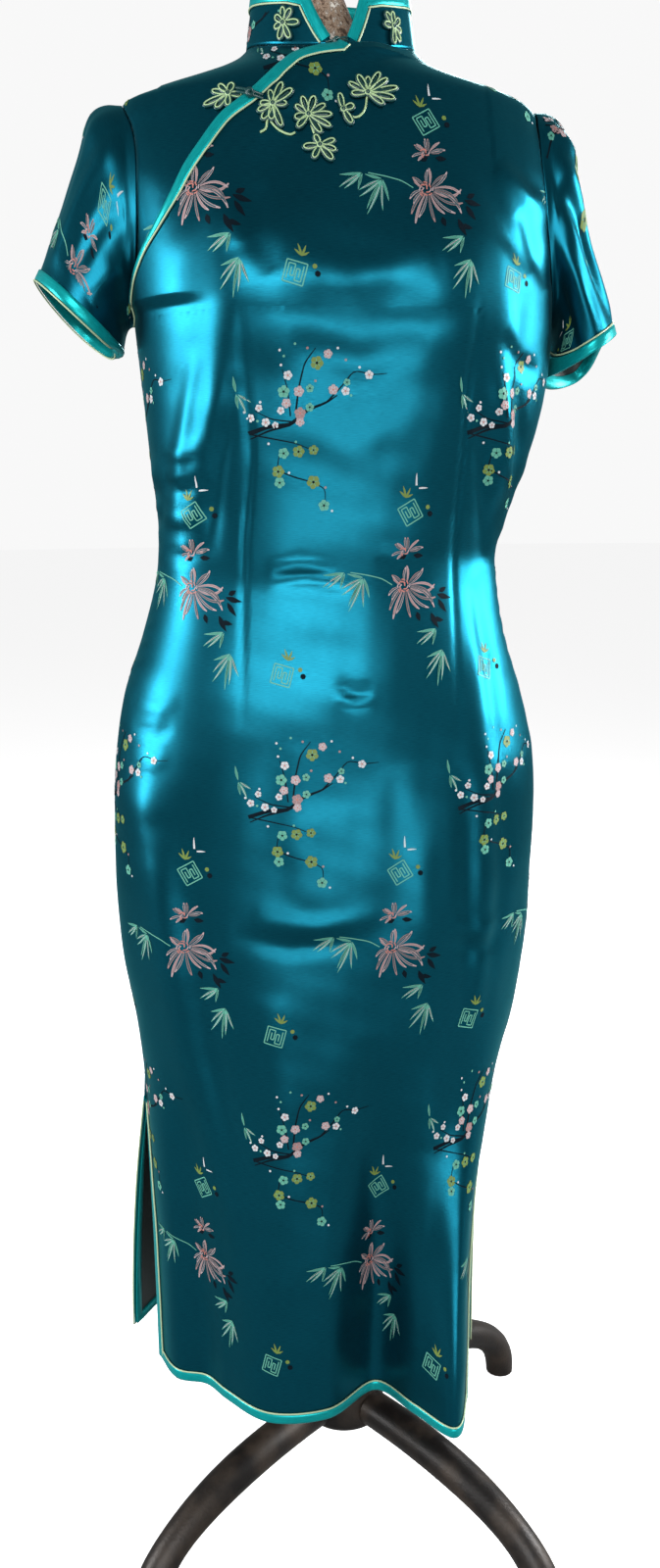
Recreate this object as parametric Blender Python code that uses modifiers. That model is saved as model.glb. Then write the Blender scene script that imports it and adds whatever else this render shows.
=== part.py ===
# Satin cheongsam worn on a limbless dress form that stands on four iron legs.
# Metres, +Z up. The front of the dress faces -Y and the wearer's right side is at -X.
# The origin is on the floor, on the axis of the stand.

import math

import bmesh
import bpy
import numpy as np
from mathutils import Vector

# Cloth and sewing
clothThickness = 0.0016
seamGap = 0.0003
seamInset = 0.00035          # share of a panel's width kept back from a seam
bindingThickness = 0.0010
bindingWidth = 0.0080        # from the cloth's edge to the piping
bindingCover = 0.86          # share of that width that the binding itself covers
pipingRadius = 0.0008
flapRaise = 0.0040           # how far the front flap stands over the piece under it
underlap = 0.018             # how far that piece runs on under the flap
underSink = 0.0008           # how far it lies inside the body's own surface
frogThickness = 0.0022
frogLift = 0.0007

# Heights of the dress
hemHeight = 0.150
slitTop = 0.405
foldTop = 0.600              # where the hem's waves begin in the middle of a panel
underarmHeight = 1.037
shoulderTip = 1.196
slitOpen = 0.393             # where the two edges of a slit have parted enough for their bindings
collarHeight = 0.036
collarLean = 0.005
collarNotch = dict(left=0.022, right=0.016)  # how far the collar's front ends slope back

# Neck opening and armholes
neckHalfWidth = 0.0645
neckFront = 0.060
neckBack = 0.055
armholeFront = 0.050
armholeBack = 0.058

# How finely the pieces are divided
armholeSteps = 16
neckSteps = 5
tailSteps = 3                # rows of the front edge between the flap's end and the underarm
tailInset = 0.006            # share by which that tail starts inside the armhole
frontColumns = 18
backShoulderColumns = 4
sleeveRows = 5

# Dress form and stand
formClearance = 0.011
shoulderClearance = 0.0032   # the dress hangs from the form's shoulders, which nearly touch it
shoulderStart = 1.120        # the form closes on the cloth from here up
shoulderEnd = 1.190
formBottom = 0.600
formSides = 20
neckLean = -0.030
neckTop = 1.340
plateRadius = 0.055
plateThickness = 0.010
poleRadius = 0.016
hubRadius = 0.036
hubBottom = 0.074
hubTop = 0.135
standTurn = math.radians(6)  # the stand faces a little past the front of the dress
legReach = 0.234
legRise = 0.094
legRadius = 0.0155
legSquareness = 2.3
footRadius = 0.0135

# Horizontal sections of the dressed body, with extents from the axis
bodySections = [
    dict(height=0.150, left=0.168, right=0.120, front=0.100, back=0.100, square=2.2),
    dict(height=0.300, left=0.170, right=0.124, front=0.102, back=0.103, square=2.2),
    dict(height=0.405, left=0.171, right=0.137, front=0.104, back=0.107, square=2.2),
    dict(height=0.460, left=0.175, right=0.147, front=0.106, back=0.110, square=2.2),
    dict(height=0.530, left=0.185, right=0.158, front=0.108, back=0.115, square=2.2),
    dict(height=0.600, left=0.188, right=0.164, front=0.110, back=0.120, square=2.2),
    dict(height=0.660, left=0.187, right=0.166, front=0.110, back=0.122, square=2.2),
    dict(height=0.700, left=0.184, right=0.163, front=0.108, back=0.119, square=2.2),
    dict(height=0.750, left=0.175, right=0.152, front=0.103, back=0.107, square=2.2),
    dict(height=0.800, left=0.158, right=0.135, front=0.094, back=0.090, square=2.2),
    dict(height=0.850, left=0.145, right=0.128, front=0.087, back=0.079, square=2.2),
    dict(height=0.885, left=0.143, right=0.138, front=0.089, back=0.079, square=2.2),
    dict(height=0.930, left=0.147, right=0.153, front=0.097, back=0.085, square=2.3),
    dict(height=0.980, left=0.151, right=0.167, front=0.107, back=0.095, square=2.3),
    dict(height=1.037, left=0.156, right=0.171, front=0.116, back=0.104, square=2.4),
    dict(height=1.080, left=0.159, right=0.170, front=0.112, back=0.107, square=2.4),
    dict(height=1.120, left=0.162, right=0.170, front=0.102, back=0.107, square=2.4),
    dict(height=1.150, left=0.163, right=0.169, front=0.093, back=0.104, square=2.3),
    dict(height=1.180, left=0.163, right=0.164, front=0.083, back=0.098, square=2.1),
    dict(height=1.196, left=0.159, right=0.156, front=0.077, back=0.092, square=2.0),
    dict(height=1.205, left=0.138, right=0.133, front=0.073, back=0.088, square=2.0),
    dict(height=1.212, left=0.114, right=0.107, front=0.069, back=0.084, square=2.0),
    dict(height=1.219, left=0.092, right=0.086, front=0.064, back=0.079, square=2.0),
    dict(height=1.227, left=0.075, right=0.073, front=0.057, back=0.073, square=2.0),
    dict(height=1.236, left=0.0645, right=0.0645, front=0.048, back=0.066, square=2.0),
    dict(height=1.245, left=0.056, right=0.056, front=0.036, back=0.058, square=2.0),
    dict(height=1.255, left=0.048, right=0.048, front=0.022, back=0.048, square=2.0),
]

# Plans of the two hems, from the left corner to the right corner
frontHemPlan = [
    dict(x=-0.167, y=-0.007), dict(x=-0.148, y=-0.045), dict(x=-0.127, y=-0.053),
    dict(x=-0.110, y=-0.076), dict(x=-0.075, y=-0.112), dict(x=-0.027, y=-0.113),
    dict(x=0.020, y=-0.080), dict(x=0.047, y=-0.116), dict(x=0.074, y=-0.150),
    dict(x=0.094, y=-0.100),
]
backHemPlan = [
    dict(x=-0.188, y=0.060), dict(x=-0.168, y=0.092), dict(x=-0.120, y=0.113),
    dict(x=-0.062, y=0.103), dict(x=-0.006, y=0.117), dict(x=0.050, y=0.104),
    dict(x=0.090, y=0.082), dict(x=0.114, y=0.040), dict(x=0.116, y=0.000),
]

# Two soft bust forms, shaped by darts and bridged by the cloth
bustForms = [
    dict(x=-0.072, height=1.062, halfWidth=0.052, halfHeight=0.062, rise=0.011),
    dict(x=0.084, height=1.060, halfWidth=0.052, halfHeight=0.062, rise=0.011),
]

# The largest folds: each is a soft ridge between two points of a panel seen from its own side
frontFolds = [
    dict(x0=-0.086, h0=1.080, x1=-0.092, h1=0.975, width=0.016, rise=0.0030),
    dict(x0=-0.092, h0=0.975, x1=-0.126, h1=0.870, width=0.017, rise=0.0042),
    dict(x0=0.118, h0=1.030, x1=0.122, h1=0.925, width=0.014, rise=0.0030),
    dict(x0=-0.160, h0=0.660, x1=-0.136, h1=0.440, width=0.018, rise=0.0040),
    dict(x0=0.104, h0=0.760, x1=0.108, h1=0.520, width=0.018, rise=0.0034),
]
backFolds = [
    dict(x0=-0.100, h0=1.060, x1=-0.078, h1=0.930, width=0.018, rise=0.0036),
    dict(x0=0.104, h0=1.050, x1=0.082, h1=0.940, width=0.018, rise=0.0036),
    dict(x0=-0.096, h0=0.640, x1=-0.104, h1=0.420, width=0.020, rise=0.0040),
    dict(x0=0.070, h0=0.600, x1=0.060, h1=0.400, width=0.020, rise=0.0034),
]

# Edge of the front flap, from the middle of the neck to the armhole
flapEdge = [
    dict(x=0.000, height=1.2215), dict(x=-0.020, height=1.2180), dict(x=-0.034, height=1.2130),
    dict(x=-0.044, height=1.2055), dict(x=-0.067, height=1.1850), dict(x=-0.085, height=1.1715),
    dict(x=-0.101, height=1.1515), dict(x=-0.112, height=1.1360), dict(x=-0.121, height=1.1190),
    dict(x=-0.133, height=1.0985), dict(x=-0.144, height=1.0810), dict(x=-0.1505, height=1.0660),
    dict(x=-0.1540, height=1.0504),
]

# Sleeve cuffs: centre, half sizes across and front to back, how far the outer side is lifted, and
# how far the back hangs below the front
cuffs = dict(
    left=dict(x=-0.1965, y=0.006, height=1.0480, across=0.042, depth=0.060, tilt=math.radians(44), drop=0.006,
              swing=0.0),
    right=dict(x=0.1990, y=0.006, height=1.0160, across=0.031, depth=0.058, tilt=math.radians(33), drop=0.014,
               swing=0.018),
)

# Frogs: each is a knot of cord loops around a centre, each loop an angle in degrees and a length
# in metres. On the chest a place is x and height, on the collar an angle round the neck and height.
loopWidth = 0.0046
frogCore = 0.0030
chestFrogs = [
    dict(name="frog_chest_under", x=-0.0815, height=1.1870, on="under", loops=[
        (163, 0.012), (128, 0.010), (66, 0.009), (203, 0.019), (229, 0.014), (268, 0.010), (-8, 0.010)]),
    dict(name="frog_chest_flower_a", x=-0.0505, height=1.1755, on="front", loops=[
        (98, 0.011), (66, 0.018), (38, 0.018), (6, 0.010), (176, 0.009), (208, 0.012), (236, 0.014),
        (262, 0.012), (-72, 0.017)]),
    dict(name="frog_chest_flower_b", x=-0.0260, height=1.1699, on="front", loops=[
        (146, 0.011), (108, 0.013), (70, 0.014), (34, 0.015), (2, 0.017), (-30, 0.018), (-58, 0.016),
        (196, 0.0105), (230, 0.013)]),
    dict(name="frog_chest_sprig", x=-0.0190, height=1.1480, on="front", loops=[
        (24, 0.012), (-16, 0.012), (-52, 0.014), (243, 0.011), (186, 0.012), (112, 0.0065)]),
    dict(name="frog_chest_leaf", x=-0.0010, height=1.1740, on="front", loops=[
        (100, 0.013), (-62, 0.012), (24, 0.008)]),
    dict(name="frog_chest_mum", x=0.0170, height=1.1866, on="front", loops=[
        (150, 0.0155), (184, 0.012), (116, 0.015), (86, 0.013), (60, 0.019), (38, 0.019), (14, 0.023),
        (-10, 0.020), (-38, 0.014)]),
]
collarFrogs = [
    dict(name="frog_collar_left", angle=52, height=0.0145, loops=[
        (98, 0.0115), (62, 0.0115), (146, 0.0085), (206, 0.0085), (258, 0.0120), (-62, 0.0125), (4, 0.0120)]),
    dict(name="frog_collar_right", angle=130, height=0.0145, loops=[
        (122, 0.0115), (88, 0.0105), (36, 0.0090), (-22, 0.0095), (-62, 0.0120), (-96, 0.0125), (170, 0.0090)]),
]


def smoothCurve(knots, values, monotone=True):
    """A cubic through the knots, without overshoot when monotone."""
    x = np.array(knots, dtype=float)
    y = np.array(values, dtype=float)
    step = np.diff(x)
    rise = np.diff(y) / step
    slope = np.empty_like(y)
    slope[0] = rise[0]
    slope[-1] = rise[-1]
    slope[1:-1] = (rise[:-1] * step[1:] + rise[1:] * step[:-1]) / (step[1:] + step[:-1])
    if monotone:
        turning = rise[:-1] * rise[1:] <= 0
        limit = 2.5 * np.minimum(np.abs(rise[:-1]), np.abs(rise[1:]))
        slope[1:-1] = np.where(turning, 0.0, np.clip(slope[1:-1], -limit, limit))

    def at(v):
        v = np.asarray(v, dtype=float)
        k = np.clip(np.searchsorted(x, v) - 1, 0, len(x) - 2)
        t = (v - x[k]) / step[k]
        inside = ((2 * t**3 - 3 * t**2 + 1) * y[k] + (t**3 - 2 * t**2 + t) * step[k] * slope[k]
                  + (3 * t**2 - 2 * t**3) * y[k + 1] + (t**3 - t**2) * step[k] * slope[k + 1])
        before = y[0] + (v - x[0]) * slope[0]
        after = y[-1] + (v - x[-1]) * slope[-1]
        return np.where(v < x[0], before, np.where(v > x[-1], after, inside))

    return at


def column(table, name):
    return [row[name] for row in table]


def tableCurve(table, key, name, monotone=True):
    return smoothCurve(column(table, key), column(table, name), monotone)


section = {name: tableCurve(bodySections, "height", name)
           for name in ("left", "right", "front", "back", "square")}


def ease(t):
    t = np.clip(t, 0.0, 1.0)
    return t * t * (3 - 2 * t)


def unit(v):
    return v / np.maximum(np.linalg.norm(v, axis=-1, keepdims=True), 1e-12)


# The ring of a section is sampled more finely where it turns fast
quarterSamples = 40
quarter = np.linspace(0, 1, quarterSamples + 1)
quarter = (quarter - np.sin(2 * np.pi * quarter) / (2 * np.pi)) * np.pi / 2
halfAngles = np.concatenate([quarter, quarter[1:] + np.pi / 2])


def ringSamples(height, inset=0.0):
    """Front half from left to right, then back half from right to left, with lengths along it."""
    power = 2 / float(section["square"](height))
    c = np.cos(halfAngles)
    s = np.maximum(np.sin(halfAngles), 0)
    reach = np.where(c > 0, float(section["left"](height)), float(section["right"](height))) - inset
    x = -np.sign(c) * np.abs(c) ** power * reach
    front = -(s ** power) * (float(section["front"](height)) - inset)
    back = (s ** power) * (float(section["back"](height)) - inset)
    ring = np.stack([np.concatenate([x, x[-2::-1]]), np.concatenate([front, back[-2::-1]])], axis=1)
    length = np.concatenate([[0], np.cumsum(np.linalg.norm(np.diff(ring, axis=0), axis=1))])
    return ring, length


def ringPoint(side, u, height):
    """A point of the bare section at a share u of its front or back half, from left to right."""
    ring, length = ringSamples(height)
    half = length[len(halfAngles) - 1]
    total = length[-1]
    along = u * half if side == "front" else half + (1 - u) * (total - half)
    along = along % total
    return np.array([np.interp(along, length, ring[:, 0]), np.interp(along, length, ring[:, 1])])


def shareAt(side, x, y, height):
    """The share u of the point of the section that lies at x and y."""
    n = float(section["square"](height))
    reach = float(section["left" if x < 0 else "right"](height))
    depth = float(section[side](height))
    angle = math.atan2((abs(y) / depth) ** (n / 2), (abs(x) / reach) ** (n / 2))
    if x > 0:
        angle = math.pi - angle
    ring, length = ringSamples(height)
    half = len(halfAngles)
    if side == "front":
        return float(np.interp(angle, halfAngles, length[:half] / length[half - 1]))
    backLength = length[-1] - length[half - 1:]
    return float(np.interp(angle, halfAngles, (backLength / backLength[0])[::-1]))


def planCurve(plan):
    """The plan of a hem as x and y at a share of its length."""
    points = np.array([[p["x"], p["y"]] for p in plan])
    chord = np.concatenate([[0], np.cumsum(np.linalg.norm(np.diff(points, axis=0), axis=1))])
    chord = chord / chord[-1]
    x = smoothCurve(chord, points[:, 0], monotone=False)
    y = smoothCurve(chord, points[:, 1], monotone=False)
    return lambda u: np.array([float(x(u)), float(y(u))])


hemPlan = dict(front=planCurve(frontHemPlan), back=planCurve(backHemPlan))
folds = dict(front=frontFolds, back=backFolds)


def foldRise(side, u, x, height):
    """How far the folds lift the cloth at a point, fading out at the side seams."""
    total = 0.0
    for fold in folds[side]:
        ax, ah = fold["x0"], fold["h0"]
        bx, bh = fold["x1"] - ax, fold["h1"] - ah
        t = ((x - ax) * bx + (height - ah) * bh) / (bx * bx + bh * bh)
        near = min(max(t, 0.0), 1.0)
        away = math.hypot(x - ax - near * bx, (height - ah - near * bh) * 0.6)
        total += fold["rise"] * math.exp(-((away / fold["width"]) ** 2))
    return total * float(ease(u / 0.07) * ease((1 - u) / 0.07))


def clothPlan(side, u, height):
    """The cloth's outer face in plan at a height, with its hem waves, bust forms and folds."""
    point = ringPoint(side, u, height)
    middle = max(0.0, math.sin(math.pi * min(max(u, 0.0), 1.0)))
    top = slitTop + (foldTop - slitTop) * middle ** 0.7
    if height < top:
        share = (top - height) / (top - hemHeight)
        atEdge = abs(2 * u - 1) ** 4
        weight = (1 - atEdge) * float(ease(share)) + atEdge * (1 - (1 - min(share, 1.0)) ** 1.6)
        point = point + (hemPlan[side](u) - point) * weight
    if side == "front":
        for form in bustForms:
            away = ((point[0] - form["x"]) / form["halfWidth"]) ** 2
            away += ((height - form["height"]) / form["halfHeight"]) ** 2
            point[1] -= form["rise"] * math.exp(-away)
    outward = unit(point * np.array([1.0, 1.4]))
    return point + outward * foldRise(side, u, point[0], height)


def clothPoint(side, u, height):
    x, y = clothPlan(side, u, height)
    return np.array([x, y, height])


def clothNormal(side, u, height):
    du, dh = 0.006, 0.002
    across = clothPoint(side, u + du, height) - clothPoint(side, u - du, height)
    up = clothPoint(side, u, height + dh) - clothPoint(side, u, height - dh)
    normal = np.cross(across, up)
    return unit(normal if side == "front" else -normal)


def neckPlace(angle):
    """Height, side and share of the neck edge at an angle, 0 at -X and 90 degrees at the front."""
    x = -neckHalfWidth * math.cos(angle)
    s = math.sin(angle)
    y = -neckFront * s if s > 0 else -neckBack * s
    side = "front" if s >= 0 else "back"
    low, high = 1.19, 1.255
    for _ in range(40):
        h = (low + high) / 2
        n = float(section["square"](h))
        reach = float(section["left" if x < 0 else "right"](h))
        filled = (abs(x) / reach) ** n + (abs(y) / float(section[side](h))) ** n
        low, high = (h, high) if filled < 1 else (low, h)
    return side, shareAt(side, x, y, low), low


def armholePlace(hand, angle):
    """Side, share and height on an armhole, from the shoulder tip at 0 through the front."""
    height = (shoulderTip + underarmHeight) / 2 + (shoulderTip - underarmHeight) / 2 * math.cos(angle)
    s = math.sin(angle)
    side = "front" if s >= 0 else "back"
    y = -armholeFront * s if s >= 0 else -armholeBack * s
    n = float(section["square"](height))
    reach = float(section[hand](height))
    x = reach * (1 - (abs(y) / float(section[side](height))) ** n) ** (1 / n)
    if hand == "left":
        x = -x
    return side, shareAt(side, x, y, height), height


def clampShare(u):
    return min(max(u, seamInset), 1 - seamInset)


def edgeShares(count, length):
    """Column shares of a row: one strip of the binding's width at each end, the rest even."""
    strip = bindingWidth / length
    inner = np.linspace(strip, 1 - strip, count - 1)
    return np.concatenate([[0], inner, [1]])


def sheetGrid(side, rows, raiseAt=None):
    """Points and normals of a panel from rows of (share, height) places."""
    points, normals = [], []
    for row in rows:
        line = []
        turn = []
        for u, h in row:
            u = clampShare(u)
            normal = clothNormal(side, u, h)
            lift = raiseAt(u, h) if raiseAt else 0.0
            line.append(clothPoint(side, u, h) + normal * lift)
            turn.append(normal)
        points.append(line)
        normals.append(turn)
    return np.array(points), np.array(normals)


def straightRow(left, right, count):
    (u0, h0), (u1, h1) = left, right
    width = max(0.06, abs(u1 - u0) * 0.42 + abs(h1 - h0))
    return [(u0 + (u1 - u0) * t, h0 + (h1 - h0) * t) for t in edgeShares(count, width)]


skirtHeights = (list(np.linspace(underarmHeight, slitTop, 16)[1:])
                + list(np.linspace(slitOpen, hemHeight + bindingWidth, 6)) + [hemHeight])
armAngles = [math.pi * j / armholeSteps for j in range(armholeSteps + 1)]


def flapPath(inset):
    """Places on the front along the flap's edge, one for each row below the neck, moved inside it."""
    x = np.array(column(flapEdge, "x"))
    h = np.array(column(flapEdge, "height"))
    chord = np.concatenate([[0], np.cumsum(np.hypot(np.diff(x), np.diff(h)))])
    xAt = smoothCurve(chord, x)
    hAt = smoothCurve(chord, h)
    steps = armholeSteps - neckSteps - tailSteps
    path = []
    for k in range(steps + 1):
        along = chord[-1] * k / steps
        run = np.array([float(xAt(along + 0.002) - xAt(along - 0.002)),
                        float(hAt(along + 0.002) - hAt(along - 0.002))])
        run = run / np.hypot(*run)
        height = float(hAt(along)) + run[0] * inset
        path.append((shareFromX(float(xAt(along)) - run[1] * inset, height), height))
    return path


def shareFromX(x, height):
    ring, length = ringSamples(height)
    half = len(halfAngles)
    return float(np.interp(x, ring[:half, 0], length[:half] / length[half - 1]))


def flapEdgeX(height):
    order = list(reversed(flapEdge))
    return float(np.interp(height, column(order, "height"), column(order, "x")))


def flapRaiseAt(u, height):
    """The flap is lifted beside its edge and eases back to the body away from it."""
    if height > 1.2215:
        away = abs(float(ringPoint("front", u, height)[0]))
    else:
        away = (float(ringPoint("front", u, height)[0]) - flapEdgeX(height)) * 0.80
    fade = 1 - float(ease((away - underlap - 0.004) / 0.030))
    low = float(ease((height - underarmHeight - 0.003) / 0.012))
    return flapRaise * fade * low


def flapRow(left, inner, right):
    """A row that starts with a strip inside the flap's edge and widens its columns away from it."""
    (u0, h0), (u1, h1) = inner, right
    width = max(0.06, abs(u1 - u0) * 0.42 + abs(h1 - h0))
    steps = frontColumns - 2
    shares = [(1 - bindingWidth / width) * (k / steps) ** 1.2 for k in range(1, steps + 1)] + [1.0]
    return [left, inner] + [(u0 + (u1 - u0) * t, h0 + (h1 - h0) * t) for t in shares]


def frontRows():
    rows = []
    flap = flapPath(0.0)
    flapInner = flapPath(bindingWidth)
    for j, angle in enumerate(armAngles):
        right = armholePlace("right", angle)[1:]
        if j < neckSteps:
            left = neckPlace(math.pi - math.pi / 2 * j / neckSteps)[1:]
            rows.append(straightRow(left, right, frontColumns))
        elif j <= armholeSteps - tailSteps:
            rows.append(flapRow(flap[j - neckSteps], flapInner[j - neckSteps], right))
        else:
            u, h = armholePlace("left", angle)[1:]
            inset = tailInset * (armholeSteps - j) / tailSteps
            rows.append(straightRow((u + inset, h), right, frontColumns))
    for height in skirtHeights:
        rows.append(straightRow((0, height), (1, height), frontColumns))
    return rows


def underRows():
    """The piece under the flap: shoulder, neck and armhole edges, and a free edge under the flap."""
    rows = []
    flap = flapPath(underlap)
    count = 6
    for j in range(armholeSteps - tailSteps):
        left = armholePlace("left", armAngles[j])[1:]
        if j < neckSteps:
            right = neckPlace(math.pi / 2 * j / neckSteps)[1:]
        elif j == neckSteps:
            right = neckPlace(math.pi / 2 * 0.97)[1:]
        else:
            right = flap[j - neckSteps]
        rows.append([(left[0] + (right[0] - left[0]) * t, left[1] + (right[1] - left[1]) * t)
                     for t in np.linspace(0, 1, count + 1)])
    return rows


def backRows():
    tipLeft = armholePlace("left", 0.0)[2]
    tipRight = armholePlace("right", 0.0)[2]
    neckLeft = neckPlace(0.0)[2]
    top = [(0.0, tipLeft + (neckLeft - tipLeft) * k / backShoulderColumns)
           for k in range(backShoulderColumns)]
    for k in range(2 * neckSteps + 1):
        top.append(neckPlace(-math.pi * k / (2 * neckSteps))[1:])
    top += [(1.0, neckLeft + (tipRight - neckLeft) * k / backShoulderColumns)
            for k in range(1, backShoulderColumns + 1)]
    count = len(top) - 1
    rows = []
    base = straightRow((0.0, tipLeft), (1.0, tipRight), count)
    for j, angle in enumerate(armAngles):
        left = armholePlace("left", -angle)[1:]
        right = armholePlace("right", -angle)[1:]
        row = straightRow(left, right, count)
        weight = (1 - j / armholeSteps) ** 1.6
        rows.append([(u + (topU - u0) * weight, h + (topH - h0) * weight)
                     for (u, h), (topU, topH), (u0, h0) in zip(row, top, base)])
    for height in skirtHeights:
        rows.append(straightRow((0, height), (1, height), count))
    return rows


def newObject(name, mesh, colour, roughness, metallic=0.0):
    thing = bpy.data.objects.new(name, mesh)
    material = bpy.data.materials.new(name)
    material.use_nodes = True
    shader = material.node_tree.nodes["Principled BSDF"]
    shader.inputs["Base Color"].default_value = (*colour, 1)
    shader.inputs["Roughness"].default_value = roughness
    shader.inputs["Metallic"].default_value = metallic
    mesh.materials.append(material)
    dressCollection.objects.link(thing)
    return thing


def finishMesh(name, bm, sharpAngle=50):
    if bm.calc_volume(signed=True) < 0:
        bmesh.ops.reverse_faces(bm, faces=bm.faces)
    mesh = bpy.data.meshes.new(name)
    bm.to_mesh(mesh)
    bm.free()
    mesh.shade_smooth()
    mesh.set_sharp_from_angle(angle=math.radians(sharpAngle))
    return mesh


def slab(rows, columns):
    """A flat closed sheet of rows by columns cells, its vertices in a dictionary by (row, column, face)."""
    bm = bmesh.new()
    bmesh.ops.create_grid(bm, x_segments=columns, y_segments=rows, size=0.5)
    made = bmesh.ops.extrude_face_region(bm, geom=bm.faces[:])
    lifted = {v for v in made["geom"] if isinstance(v, bmesh.types.BMVert)}
    for v in lifted:
        v.co.z = 0.1
    bmesh.ops.recalc_face_normals(bm, faces=bm.faces)
    places = {}
    for v in bm.verts:
        j = round((0.5 - v.co.y) * rows)
        i = round((v.co.x + 0.5) * columns)
        places[j, i, 0 if v in lifted else 1] = v
    return bm, places


def makeSheet(name, points, normals, colour, cornerRow=None):
    """A cloth wall whose outer face is the grid of points and whose inner face lies behind it.

    At the two bound corners of a border row the cells are split toward the corner, as the binding is."""
    rows, columns = points.shape[0] - 1, points.shape[1] - 1
    bm, places = slab(rows, columns)
    for (j, i, inner), v in places.items():
        v.co = Vector(points[j, i] - normals[j, i] * clothThickness * inner)
    if cornerRow is not None:
        nextRow = 1 if cornerRow == 0 else cornerRow - 1
        for inner in (0, 1):
            for corner, beside in ((0, 1), (columns, columns - 1)):
                ends = [places[cornerRow, corner, inner], places[nextRow, beside, inner]]
                bmesh.ops.connect_verts(bm, verts=ends)
    return newObject(name, finishMesh(name, bm), colour, 0.28)


def sweepSections(name, sections, colour, closed=False):
    """A solid through a row of equal closed sections, capped at its ends unless it is closed."""
    bm = bmesh.new()
    rings = [[bm.verts.new(Vector(p)) for p in ring] for ring in sections]
    count = len(rings[0])
    pairs = list(zip(rings, rings[1:]))
    if closed:
        pairs.append((rings[-1], rings[0]))
    for a, b in pairs:
        for k in range(count):
            bm.faces.new((a[k], a[(k + 1) % count], b[(k + 1) % count], b[k]))
    if not closed:
        bm.faces.new(rings[0][::-1])
        bm.faces.new(rings[-1])
    return newObject(name, finishMesh(name, bm), colour, 0.3)


def straightenCorners(points, rowIndex):
    """Lay the second and the last but one points of a border row on the lines to their neighbours."""
    row = points[rowIndex]
    for a, b, c in ((0, 1, 2), (-1, -2, -3)):
        share = np.linalg.norm(row[b] - row[a]) / (np.linalg.norm(row[b] - row[a]) + np.linalg.norm(row[c] - row[b]))
        row[b] = row[a] + (row[c] - row[a]) * share


def edgeStations(points, normals, path):
    """Stations (edge point, inner point, their normals) from pairs of grid places."""
    return [(points[a], points[b], normals[a], normals[b]) for a, b in path]


def bindingSection(station, cover, wrap, gap):
    """Folded strip round the cloth's edge: over it only, or round it to the inner face too."""
    edge, inner, normalEdge, normalInner = station
    outward = unit(edge - inner)
    inside = edge + (inner - edge) * cover
    normalIn = unit(normalEdge + (normalInner - normalEdge) * cover)
    g, b, t = gap, bindingThickness, clothThickness
    ring = [inside + normalIn * g, edge + outward * g + normalEdge * g]
    if wrap:
        ring += [edge + outward * g - normalEdge * (t + g), inside - normalIn * (t + g),
                 inside - normalIn * (t + g + b), edge + outward * (g + b) - normalEdge * (t + g + b)]
    else:
        ring += [edge + outward * g - normalEdge * t, edge + outward * (g + b) - normalEdge * t]
    ring += [edge + outward * (g + b) + normalEdge * (g + b), inside + normalIn * (g + b)]
    return ring


def pipingSection(station, cover):
    """A small four-sided cord that lies along the inner side of the binding."""
    edge, inner, normalEdge, normalInner = station
    outward = unit(edge - inner)
    share = cover + (seamGap + pipingRadius) / bindingWidth
    centre = edge + (inner - edge) * share + normalInner * (seamGap + pipingRadius)
    r = pipingRadius
    return [centre + outward * r, centre + normalInner * r, centre - outward * r, centre - normalInner * r]


def makeBinding(name, stations, wrap=True, covers=None, gap=seamGap):
    covers = covers or [bindingCover] * len(stations)
    sections = [bindingSection(s, c, wrap, gap) for s, c in zip(stations, covers)]
    return sweepSections(name, sections, (0.02, 0.42, 0.42))


def makePiping(name, stations, covers=None):
    covers = covers or [bindingCover] * len(stations)
    sections = [pipingSection(s, c) for s, c in zip(stations, covers)]
    return sweepSections(name, sections, (0.62, 0.78, 0.55))


def panelEdgePath(points, firstRow):
    """Grid places down the left edge, along the hem and up the right edge."""
    last = points.shape[0] - 1
    end = points.shape[1] - 1
    path = [((j, 0), (j, 1)) for j in range(firstRow, last)]
    path.append(((last, 0), (last - 1, 1)))
    path += [((last, i), (last - 1, i)) for i in range(2, end - 1)]
    path.append(((last, end), (last - 1, end - 1)))
    path += [((j, end), (j, end - 1)) for j in range(last - 1, firstRow - 1, -1)]
    return path


def makeDress():
    """The front, the piece under its flap, the back and the trims of their edges."""
    teal = (0.0, 0.20, 0.24)
    front, frontTurn = sheetGrid("front", frontRows(), flapRaiseAt)
    straightenCorners(front, -1)
    makeSheet("front_panel", front, frontTurn, teal, cornerRow=front.shape[0] - 1)
    under, underTurn = sheetGrid("front", underRows(), lambda u, height: -underSink)
    makeSheet("under_front", under, underTurn, teal)
    back, backTurn = sheetGrid("back", backRows())
    straightenCorners(back, -1)
    # The back's normals point to +Y, and its rows run from left to right as the front's do
    makeSheet("back_panel", back, backTurn, teal, cornerRow=back.shape[0] - 1)

    firstSlit = armholeSteps + skirtHeights.index(slitOpen) + 1
    for name, points, normals in (("front", front, frontTurn), ("back", back, backTurn)):
        stations = edgeStations(points, normals, panelEdgePath(points, firstSlit))
        makeBinding("binding_" + name, stations)
        makePiping("piping_" + name, stations)

    rows = range(neckSteps, armholeSteps)
    stations = edgeStations(front, frontTurn, [((j, 0), (j, 1)) for j in rows])
    shares = np.linspace(0, 1, len(stations))
    covers = [bindingCover * (1 - 0.70 * float(ease((t - 0.45) / 0.30))) for t in shares]
    bound = len(stations) - tailSteps + 1
    makeBinding("binding_flap", stations[:bound], wrap=False, covers=covers[:bound])
    makePiping("piping_flap", stations, covers)


def collarPoint(angle, up):
    """A point of the collar's outer face at an angle round the neck and a height over the seam."""
    side, u, h = neckPlace(angle)
    foot = clothPoint(side, u, h) + np.array([0, 0, seamGap + 0.0002])
    inward = unit(np.array([-foot[0], -foot[1], 0.0]))
    return foot + np.array([0, 0, up]) + inward * collarLean * up / collarHeight


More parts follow.
